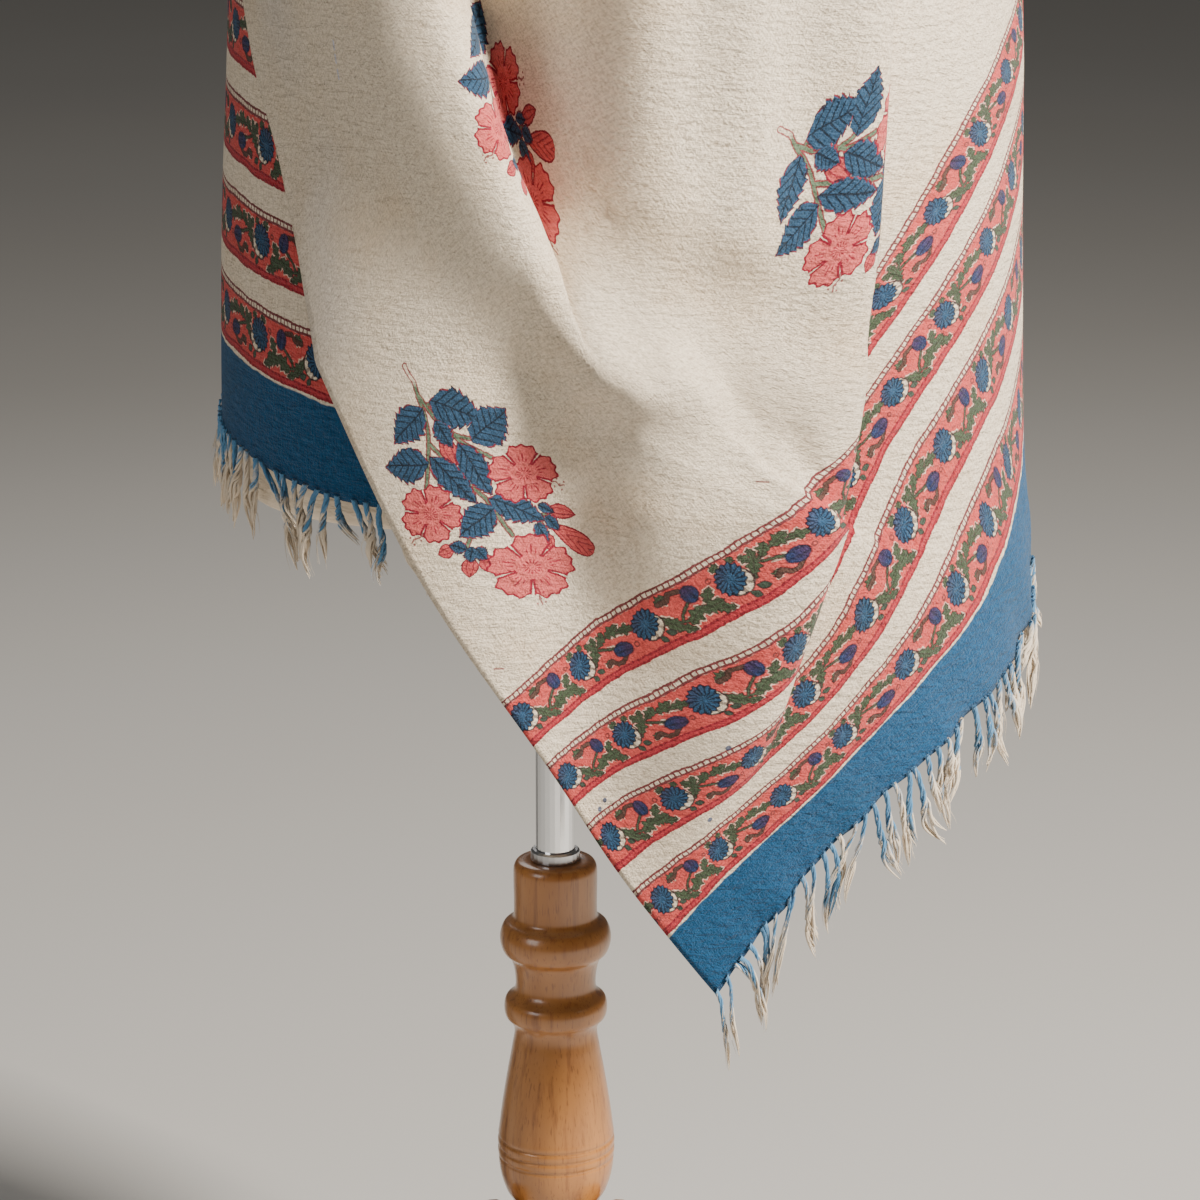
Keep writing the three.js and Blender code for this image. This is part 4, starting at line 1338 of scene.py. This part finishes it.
@dataclass
class Shawl:
    """The shawl's three stretches.

    Args:
        place: where the pole stands.
        step: length of a face of the front, in mm.
        wall: thickness of the cloth, in metres.
        band_top: how far up the cloth the band print goes, in mm.
        reach: half the size of a stamped block, in mm.
        back_grid: rows and columns of the back.
        under_grid: rows and columns of the first end.
    """

    place: Place
    step: float = 3.9
    wall: float = 0.0014
    band_top: float = 224.0
    reach: tuple = (84.0, 88.0)
    back_grid: tuple = (110, 120)
    under_grid: tuple = (130, 150)

    def build(self) -> None:
        """Makes the cloth."""
        self.front = self._front()
        self.back = self._back()
        self.under = self._under()

    def _sheet(self, name: str, points: np.ndarray, rows: int, columns: int,
               coords: np.ndarray):
        """A cloth grid with its print coordinates and wall."""
        piece = mesh_object(name, self.place.put(points), grid_faces(rows, columns))
        set_uv(piece, coords)
        thicken(piece, self.wall)
        return piece

    def _front(self):
        """The printed outer end, across the front and round the side."""
        rows = int(FRONT_LENGTH / self.step) + 1
        columns = int(CLOTH_WIDTH / self.step) + 1
        u, v = np.meshgrid(np.linspace(0, FRONT_LENGTH, rows),
                           np.linspace(0, CLOTH_WIDTH, columns), indexing="ij")
        points = front_points(u.ravel(), v.ravel())
        coords = np.stack([v.ravel(), u.ravel()], -1) * MM
        self.front_coords = coords
        piece = self._sheet("front_stretch", points, rows, columns, coords)
        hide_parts("shawl_front")
        return piece

    def _back(self):
        """The plain middle of the shawl across the back."""
        rows, columns = self.back_grid
        turn, t = np.meshgrid(np.linspace(BACK_START - SEAM_TURN, BACK_END, rows),
                              np.linspace(0, 1, columns), indexing="ij")
        points = back_points(turn.ravel(), t.ravel())
        around = turn[:, 0]
        run = run_along(drape_points(around, np.full(rows, 1000.0), np.zeros(rows)))
        self.back_run = (around[::-1], run[::-1])
        level = along(BACK_HEM, 1, turn) * (1 - t) + CLOTH_TOP * t
        coords = np.stack([level.ravel(), FRONT_LENGTH + np.repeat(run, columns)], -1) * MM
        self.back_coords = coords
        piece = self._sheet("back_stretch", points, rows, columns, coords)
        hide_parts("shawl_back")
        return piece

    def _under(self):
        """The first end, which hangs at the left side under the others."""
        rows, columns = self.under_grid
        t, s = np.meshgrid(np.linspace(0, 1, rows), np.linspace(0, 1, columns),
                           indexing="ij")
        turn = UNDER_START + (UNDER_END - UNDER_START) * s.ravel()
        hem = along(UNDER_HEM, 1, turn)
        m = hem + (UNDER_TOP - hem) * t.ravel()
        points = under_points(turn, m)
        v = CLOTH_WIDTH * (UNDER_EDGE - turn) / (UNDER_EDGE - UNDER_START)
        coords = np.stack([v, (m - hem) / UNDER_RISE], -1) * MM
        self.under_coords = coords
        piece = self._sheet("first_end", points, rows, columns, coords)
        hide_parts("shawl_under_end")
        return piece

    def _stamp(self, piece, coords: np.ndarray, stamps: tuple) -> None:
        """Lays the print on a sheet: which faces carry which finish.

        Args:
            piece: the sheet.
            coords: cloth coordinates of its points, across and along, in metres.
            stamps: the sprays on it.
        """
        mesh = piece.data
        corners = face_corners(mesh).reshape(-1, 4)
        middle = coords[corners].mean(1) / MM
        lay = lay_at(LAY_TURN, middle[:, 1], middle[:, 0])
        level = lay_at(LAY_LEVEL, middle[:, 1], middle[:, 0])
        index = np.where(middle[:, 1] < self.band_top, 1, 0)
        stamped = np.zeros((len(mesh.loops), 2), np.float32)
        for stamp in stamps:
            place = (coords / MM - (stamp.v, stamp.u)) @ np.array(stamp.skew).T
            faces = (np.abs(place[corners].mean(1)) < self.reach).all(1) & (index != 1)
            for lap, sign in ((stamp.left_of, -1), (stamp.right_of, 1)):
                if lap:
                    faces &= lap_side(lap, lay, level) * sign > 0
            index[faces] = 2
            stamped.reshape(-1, 4, 2)[faces] = place[corners[faces]]
        layer = mesh.uv_layers.new(name="stamp")
        layer.data.foreach_set("uv", stamped.ravel())
        mesh.polygons.foreach_set("material_index", index.astype(np.int32))

    def _back_stamps(self) -> tuple:
        """The back's sprays, placed by turn and level and leant with the cloth."""
        stamps = []
        for turn, level, lean in BACK_SPRAYS:
            c, s = math.cos(math.radians(lean)), math.sin(math.radians(lean))
            run = float(np.interp(turn, *self.back_run))
            stamps.append(Stamp(level, FRONT_LENGTH + run, ((s, -c), (c, s))))
        return tuple(stamps)

    def dress(self) -> None:
        """Gives the cloth its finishes and hangs it on the form."""
        finishes = PlainWool().build(), BandPrint().build(), SprayPrint().build()
        for piece, coords, stamps in (
                (self.front, self.front_coords, FRONT_STAMPS),
                (self.back, self.back_coords, self._back_stamps()),
                (self.under, self.under_coords, ())):
            for finish in finishes:
                piece.data.materials.append(finish)
            self._stamp(piece, coords, stamps)
            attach(piece, "form")


@dataclass
class DressForm:
    """The limbless form's torso, with sides points round it."""

    place: Place
    sides: int = 96

    def build(self) -> None:
        """Makes the torso with a rounded lower rim and a closed flat base."""
        rim_levels = np.linspace(FORM_BASE, FORM_BASE + 2 * FORM_RIM, 5)
        levels = np.concatenate([rim_levels, np.linspace(FORM_BASE + 20, FORM_TOP, 80)])
        angle = np.linspace(0, 2 * np.pi, self.sides, endpoint=False)
        z, a = np.meshgrid(levels, angle, indexing="ij")
        z, a = z.ravel(), a.ravel()
        side, front, back = (along(TORSO_ROWS, c, z) for c in (1, 2, 3))
        s, c = np.cos(a), np.sin(a)
        d = np.where(c > 0, back, front)
        reach = ((np.abs(s) / side) ** FORM_POWER
                 + (np.abs(c) / d) ** FORM_POWER) ** (-1 / FORM_POWER)
        rim = np.clip((z - FORM_BASE) / 10, 0, 1)
        reach = reach - FORM_RIM * (1 - np.sqrt(np.clip(1 - (1 - rim) ** 2, 0, 1)))
        points = np.stack([reach * s, reach * c, z], -1)
        ring = np.arange(self.sides)
        faces = ring_faces(len(levels), self.sides).tolist()
        faces.append(ring[::-1].tolist())
        faces.append(((len(levels) - 1) * self.sides + ring).tolist())
        self.torso = mesh_object("torso", self.place.put(points), faces)
        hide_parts("form_torso")

    def dress(self) -> None:
        """Cover finish."""
        cover = PlainWool("form_cover").build()
        self.torso.data.materials.append(cover)
        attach(self.torso, "form")


@dataclass
class Fringe:
    """Twisted locks along a stretch's fringed edge.

    Args:
        place: where the pole stands.
        name: the piece's name.
        node: the CAD node it stands for.
        roots: points of the edge, in mm from the pole.
        inland: points a little way up the cloth from each root.
        seed: seed of the locks' lengths and leans.
        pitch: from one lock to the next, in mm.
        length: how long a lock is, in mm.
        strands: yarns wound in a lock.
        hairs: loose hairs beside them.
        rings: points along each.
        bend: share of its length in which a lock turns down.
        tuck: how far it starts inside the hem, in mm.
        clump: how far neighbours draw together, 1 for wholly.
        bell_at: where a lock fluffs out most, as a share of its length.
        bell_half: how long it stays fluffed.
        yarn: radius of a yarn, in mm.
        hair: radius of a hair, in mm.
    """

    place: Place
    name: str
    node: str
    roots: np.ndarray
    inland: np.ndarray
    seed: int
    pitch: float = 8.4
    length: float = 51.0
    strands: int = 7
    hairs: int = 3
    rings: int = 17
    bend: float = 0.25
    tuck: float = 2.4
    clump: float = 0.85
    bell_at: float = 0.72
    bell_half: float = 0.24
    yarn: float = 0.74
    hair: float = 0.24

    def _frames(self, rng: np.random.Generator) -> None:
        """Places the locks' roots and finds the ways out of, along and off the cloth."""
        reach = run_along(self.roots)
        count = int(reach[-1] / self.pitch)
        at = (np.arange(count) + 0.5 + rng.uniform(-0.36, 0.36, count)) * self.pitch
        self.at = np.clip(at, 0.8, reach[-1] - 0.8)
        self.root, above = (np.stack([np.interp(self.at, reach, line[:, k])
                                      for k in range(3)], -1)
                            for line in (self.roots, self.inland))
        self.out = self._unit(self.root - above)
        self.edge = self._unit(np.gradient(self.root, axis=0))
        self.normal = self._unit(np.cross(self.edge, self.out))
        flat = self._unit(self.root[:, :2])
        self.normal[(self.normal[:, :2] * flat).sum(1) < 0] *= -1

    @staticmethod
    def _unit(ways: np.ndarray) -> np.ndarray:
        """Vectors brought to length 1."""
        return ways / np.linalg.norm(ways, axis=-1, keepdims=True)

    def _middle(self, rng: np.random.Generator, t: np.ndarray) -> np.ndarray:
        """Middle lines of the locks.

        Each leaves the edge along the cloth and bends down within a quarter of its
        length. Roots in one clump draw together as t(2 - t), then lean as t to the 1.6
        and hook at the tip; a slow wave is laid over it.
        """
        count = len(self.at)
        group = np.cumsum(rng.random(count) < 0.5)
        target = (np.bincount(group, self.at) / np.maximum(np.bincount(group), 1))[group]
        self.size = self.length * rng.uniform(0.78, 1.15, count)
        self.size[rng.random(count) < 0.1] *= 0.6
        drop = np.clip(t / self.bend, 0, 1)[None, :, None]
        way = self._unit(self.out[:, None, :] * (1 - drop * 0.82)
                         + np.array([0.0, 0.0, -1.0]) * (drop * 0.82 + 0.18))
        line = np.cumsum(way, axis=1) / self.rings * self.size[:, None, None]
        line = line - line[:, :1] - self.out[:, None, :] * self.tuck
        lean = rng.normal(0, 8.0, group.max() + 1)[group] + rng.normal(0, 2.2, count)
        bow = rng.normal(0, 2.2, (count, 2))
        phase = rng.uniform(0, 2 * np.pi, (count, 2))
        wave = np.sin(t[None, :] * 6.4 + phase[:, :1]) - np.sin(phase[:, :1])
        depth = np.sin(t[None, :] * 4.1 + phase[:, 1:]) - np.sin(phase[:, 1:])
        hook = rng.normal(0, 4.5, count)[:, None] * (np.clip(t - 0.6, 0, 1) / 0.4) ** 2
        gather = (target - self.at)[:, None] * self.clump * t * (2 - t)
        sideways = gather + lean[:, None] * t**1.6 + bow[:, :1] * wave * t + hook
        outward = 0.8 + np.abs(bow[:, 1:]) * t**1.5 + 1.4 * depth * t
        self.phase = phase[:, :1]
        return (self.root[:, None, :] + line + self.edge[:, None, :] * (1, 1, 0.3)
                * sideways[..., None] + self.normal[:, None, :] * outward[..., None])

    def _tubes(self, axis: np.ndarray, thick: np.ndarray, sides: int) -> tuple:
        """Tubes round many axes.

        Args:
            axis: lines, rings and 3 coordinates.
            thick: lines by rings of radii.
            sides: points round each ring.
        Returns:
            Points and faces, numbered from 0.
        """
        angle = np.linspace(0, 2 * np.pi, sides, endpoint=False)
        wide, deep = np.cos(angle) * thick[..., None], np.sin(angle) * thick[..., None]
        points = (axis[:, :, None, :] + self.edge[:, None, None, :] * wide[..., None]
                  + self.normal[:, None, None, :] * deep[..., None])
        first = (np.arange(len(axis)) * self.rings * sides)[:, None, None]
        faces = first + ring_faces(self.rings, sides)
        return points.reshape(-1, 3), faces.reshape(-1, 4)

    def build(self) -> None:
        """Makes the locks: yarns wound round a middle line, fluffing out low down."""
        rng = np.random.default_rng(self.seed)
        self._frames(rng)
        t = np.linspace(0, 1, self.rings)
        centre = self._middle(rng, t)
        count = len(self.at)
        bell = np.exp(-(((t - self.bell_at) / self.bell_half) ** 2))
        fluff = rng.uniform(0.25, 1.2, count)[:, None]
        lock_tone = rng.normal(0, 0.17, count)[:, None, None]
        points, faces, tone, base = [], [], [], 0
        for strand in range(self.strands + self.hairs):
            loose = strand >= self.strands
            spread = (1.15 * (1 - 0.75 * t**4) + 2.1 * bell * fluff) * (1.0 - 0.3 * t**3)
            thick = self.yarn + 0.42 * bell * fluff
            if loose:
                spread = spread + rng.uniform(0.5, 4.5, count)[:, None] * t**2
                thick = np.full_like(spread, self.hair)
            thick = thick * (1 - 0.78 * t**5) * rng.uniform(0.8, 1.15, count)[:, None]
            own = rng.uniform(0.84, 1.02, count)[:, None]
            winds = np.minimum(t, 0.62)[None, :] * rng.uniform(1.6, 2.6, count)[:, None]
            turn = 2 * np.pi * (strand / self.strands + winds) + self.phase
            turn = turn + np.sin(t * 9.0 + strand * 1.7) * 0.35
            axis = (centre + self.edge[:, None, :] * (np.cos(turn) * spread)[..., None]
                    + self.normal[:, None, :] * (np.sin(turn) * spread)[..., None])
            axis[..., 2] += (1 - own) * self.size[:, None] * t
            sides = 3 if loose else 5
            ring, quads = self._tubes(axis, thick, sides)
            points.append(ring)
            faces.append(quads + base)
            base += len(ring)
            shade = np.broadcast_to(t[None, :, None], (count, self.rings, sides))
            own_tone = rng.normal(0, 0.14, count)[:, None, None]
            tone.append((shade + own_tone + lock_tone).ravel())
        self.piece = mesh_object(self.name, self.place.put(np.concatenate(points)),
                                 np.concatenate(faces))
        made = self.piece.data.attributes.new("tone", "FLOAT", "POINT")
        made.data.foreach_set("value", np.concatenate(tone).astype(np.float32))
        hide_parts(self.node)

    def dress(self) -> None:
        """Gives the locks their dyed and undyed wool."""
        self.piece.data.materials.append(FringeWool().build())
        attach(self.piece, "form")


@dataclass(frozen=True)
class FringeWool:
    """Yarn dyed blue by the hem and bare towards its tip."""

    name: str = "fringe_wool"

    def build(self):
        """The material."""
        graph = Graph(self.name)
        tone = Term(graph, graph.node("ShaderNodeAttribute", {"attribute_name": "tone"})
                    .outputs["Fac"])
        place = graph.objects()
        spot = graph.noise(place, 160.0, 3.0, 0.7)
        hair = graph.noise(graph.scaled(place, (1800.0, 1800.0, 500.0)), 1.0, 2.0, 0.6)
        bare = (tone + (spot - 0.5) * 0.7).ramp(0.22, 0.56)
        blue = graph.mix(hair, Ink.YARN_BLUE, Ink.YARN_PALE_BLUE)
        cream = graph.mix(hair, Ink.YARN_CREAM, Ink.YARN_PALE_CREAM)
        return graph.finish({
            "Base Color": graph.mix(bare, blue, cream),
            "Roughness": 0.95, "Sheen Weight": 0.3, "Sheen Roughness": 0.6,
            "Specular IOR Level": 0.2,
            "Normal": graph.bump(hair, 0.6, 0.0004)})


@dataclass(frozen=True)
class TurnedWood:
    """Lacquered beech: pale fibres, short dark rays and a glossy skin."""

    name: str = "turned_wood"

    def build(self):
        """The material."""
        graph = Graph(self.name)
        place = graph.objects()
        grain = graph.noise(graph.scaled(place, (220.0, 220.0, 9.0)), 1.0, 4.0, 0.6)
        broad = graph.noise(graph.scaled(place, (30.0, 30.0, 4.0)), 1.0, 3.0, 0.5)
        rays = graph.noise(graph.scaled(place, (900.0, 900.0, 90.0)), 1.0, 2.0, 0.5)
        colour = graph.mix(broad.ramp(0.3, 0.7), Ink.BEECH, Ink.BEECH_PALE)
        colour = graph.mix(grain.ramp(0.5, 0.72) * 0.55, colour, Ink.BEECH_FIBRE)
        colour = graph.mix(rays.ramp(0.58, 0.7) * 0.45, colour, Ink.BEECH_RAY)
        return graph.finish({
            "Base Color": colour, "Roughness": 0.34, "Coat Weight": 0.6,
            "Coat Roughness": 0.16, "Specular IOR Level": 0.5,
            "Normal": graph.bump(grain, 0.08, 0.0006)})


@dataclass(frozen=True)
class Polished:
    """Bright metal with faint wiping marks."""

    name: str
    colour: tuple = (0.78, 0.79, 0.8)
    roughness: float = 0.12

    def build(self):
        """The material."""
        graph = Graph(self.name)
        marks = graph.noise(graph.scaled(graph.objects(), (90.0, 90.0, 700.0)), 1.0, 3.0,
                            0.6)
        return graph.finish({
            "Base Color": graph.mix(marks * 0.2, self.colour, (0.6, 0.61, 0.62)),
            "Metallic": 1.0,
            "Roughness": marks * 0.1 + (self.roughness - 0.05),
            "Normal": graph.bump(marks, 0.03, 0.0002)})


def lathe_points(profile: np.ndarray, sides: int) -> tuple:
    """A turned shape: its points and faces, from (radius, height) rows, ends closed."""
    angle = np.linspace(0, 2 * np.pi, sides, endpoint=False)
    r, a = np.meshgrid(profile[:, 0], angle, indexing="ij")
    z = np.repeat(profile[:, 1], sides)
    points = np.stack([r.ravel() * np.cos(a.ravel()), r.ravel() * np.sin(a.ravel()), z], -1)
    faces = ring_faces(len(profile), sides)[:, [0, 3, 2, 1]].tolist()
    ring = np.arange(sides)
    faces.append(ring.tolist())
    faces.append(((len(profile) - 1) * sides + ring[::-1]).tolist())
    return points, faces


@dataclass
class Stand:
    """The turned column, its legs, the tube and its collar.

    Args:
        place: where the pole stands.
        sides: points round the column.
        rings: points down the column's profile.
    """

    place: Place
    sides: int = 96
    rings: int = 260

    def build(self) -> None:
        """Makes the column as a finely turned shape with a bored top."""
        outside = smooth_line(np.array(COLUMN_PROFILE, float), self.rings)
        points, faces = lathe_points(np.concatenate([COLUMN_BORE, outside]), self.sides)
        self.column = mesh_object("column", self.place.put(points), faces)
        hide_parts("stand_column")
        outline = self._leg_outline()
        self.legs = [self._leg(node, math.radians(turn), outline)
                     for node, turn in LEG_TURNS.items()]

    @staticmethod
    def _leg_outline() -> np.ndarray:
        """The leg's closed outline, finely stepped, each corner kept sharp."""
        steps = []
        for run in LEG_RUNS:
            run = np.array(run, float)
            count = max(int(run_along(run)[-1] / LEG_STEP), 6)
            steps.append(smooth_line(run, count)[:-1])
        steps.append(np.array([LEG_RUNS[-1][-1]], float))
        return np.concatenate(steps)

    def _leg(self, node: str, turn: float, outline: np.ndarray):
        """One leg: the outline sawn from a board, its edges rounded."""
        count = len(outline)
        way = np.array([math.cos(turn), math.sin(turn), 0.0])
        across = np.array([-way[1], way[0], 0.0])
        flat = outline[:, :1] * way + outline[:, 1:] * np.array([0.0, 0.0, 1.0])
        points = np.concatenate([flat - across * LEG_THICKNESS / 2,
                                 flat + across * LEG_THICKNESS / 2])
        ring = np.arange(count)
        faces = ring_faces(2, count).tolist()
        faces.append(ring[::-1].tolist())
        faces.append((count + ring).tolist())
        piece = mesh_object(node.replace("leg", "foot"), self.place.put(points), faces)
        rounding = piece.modifiers.new("rounding", "BEVEL")
        rounding.width = LEG_ROUNDING
        rounding.segments = 3
        rounding.limit_method = "ANGLE"
        rounding.angle_limit = math.radians(50)
        rounding.harden_normals = True
        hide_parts(node)
        return piece

    def dress(self) -> None:
        """Wood and metal finishes, on new pieces and carried-over nodes."""
        wood = TurnedWood().build()
        for piece in (self.column, *self.legs):
            piece.data.materials.append(wood)
            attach(piece, "stand")
        finish_node("pole_tube", Polished("tube_chrome").build())
        finish_node("pole_collar", Polished("collar_steel", (0.55, 0.55, 0.56), 0.3).build())
        finish_node("neck_cap", wood)


def finish_node(node: str, material) -> None:
    """Puts a finish on a carried-over node."""
    materials = bpy.data.objects[node].data.materials
    materials.clear()
    materials.append(material)
    LOG.info("%s finished", node)


@dataclass(frozen=True)
class Lamp:
    """A square soft light.

    Args:
        name: its name.
        spot: where it stands, in metres.
        target: what it points at.
        power: watts.
        size: its side, in metres.
        colour: its colour.
    """

    name: str
    spot: tuple
    target: tuple
    power: float
    size: float
    colour: tuple

    def build(self) -> None:
        """Makes the light and turns it to its target."""
        data = bpy.data.lights.new(self.name, "AREA")
        data.energy = self.power
        data.size = self.size
        data.color = self.colour
        light = bpy.data.objects.new(self.name, data)
        light.location = self.spot
        way = Vector(self.target) - light.location
        light.rotation_euler = way.to_track_quat("-Z", "Y").to_euler()
        bpy.context.scene.collection.objects.link(light)


@dataclass
class Studio:
    """Floor, lights and camera.

    Args:
        place: where the pole stands.
        floor: half the floor's side, in metres.
        lamps: the lights.
        distance: from the camera to its target, in metres.
        pitch: how far the camera looks down, in degrees.
        side: how far to the right of the pole it looks.
        height: the level it looks at.
        lens: its focal length, in mm.
    """

    place: Place
    floor: float = 24.0
    lamps: tuple = (
        Lamp("key", (1.78, -1.3, 2.42), (0, 0, 0.85), 262, 0.4, (1.0, 0.94, 0.86)),
        Lamp("fill", (-2.5, -2.1, 1.8), (0, 0, 0.9), 27, 1.4, (0.99, 0.98, 0.97)),
        Lamp("rim", (-0.6, 2.2, 2.2), (0, 0, 0.9), 12, 1.2, (1.0, 0.98, 0.95)))
    distance: float = 2.4
    pitch: float = 15.5
    side: float = 0.0273
    height: float = 0.631
    lens: float = 120

    def build(self) -> None:
        """Makes the floor, lights and the camera."""
        self._floor()
        world = bpy.data.worlds.new("studio")
        bpy.context.scene.world = world
        world.use_nodes = True
        world.node_tree.nodes["Background"].inputs[0].default_value = (0.6, 0.59, 0.57, 1)
        world.node_tree.nodes["Background"].inputs[1].default_value = 0.13
        for lamp in self.lamps:
            lamp.build()
        self._camera()

    def _floor(self) -> None:
        """A plain pale floor."""
        corners = np.array([[-1, -1, 0], [1, -1, 0], [1, 1, 0], [-1, 1, 0]]) * self.floor
        floor = mesh_object("floor", corners, [[0, 1, 2, 3]], smooth=False)
        graph = Graph("floor_paint")
        tone = graph.noise(graph.objects(), 0.7, 3.0, 0.5)
        floor.data.materials.append(graph.finish({
            "Base Color": graph.mix(tone, (0.5, 0.485, 0.46), (0.55, 0.535, 0.51)),
            "Roughness": 0.85}))

    def _camera(self) -> None:
        """The camera, in front and a little above."""
        pitch = math.radians(self.pitch)
        data = bpy.data.cameras.new("camera")
        data.lens = self.lens
        data.sensor_width = 36
        camera = bpy.data.objects.new("camera", data)
        camera.location = (self.place.x + self.side,
                           self.place.y - self.distance * math.cos(pitch),
                           self.height + self.distance * math.sin(pitch))
        camera.rotation_euler = (math.pi / 2 - pitch, 0, 0)
        bpy.context.scene.collection.objects.link(camera)
        bpy.context.scene.camera = camera


def main() -> None:
    """Builds and dresses every sub-assembly."""
    low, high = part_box("pole_tube")
    place = Place((low[0] + high[0]) / 2, (low[1] + high[1]) / 2)
    v = np.linspace(0, CLOTH_WIDTH, EDGE_POINTS)
    turn = np.linspace(UNDER_FRINGE_START, UNDER_END, EDGE_POINTS)
    hem = along(UNDER_HEM, 1, turn)
    for maker in (
            DressForm(place),
            Fringe(place, "front_locks", "fringe_front", front_points(0 * v, v),
                   front_points(0 * v + INLAND, v), 11),
            Fringe(place, "first_end_locks", "fringe_under", under_points(turn, hem),
                   under_points(turn, hem + INLAND), 23),
            Shawl(place), Stand(place)):
        maker.build()
        maker.dress()
    Studio(place).build()


if __name__ == "__main__":
    main()
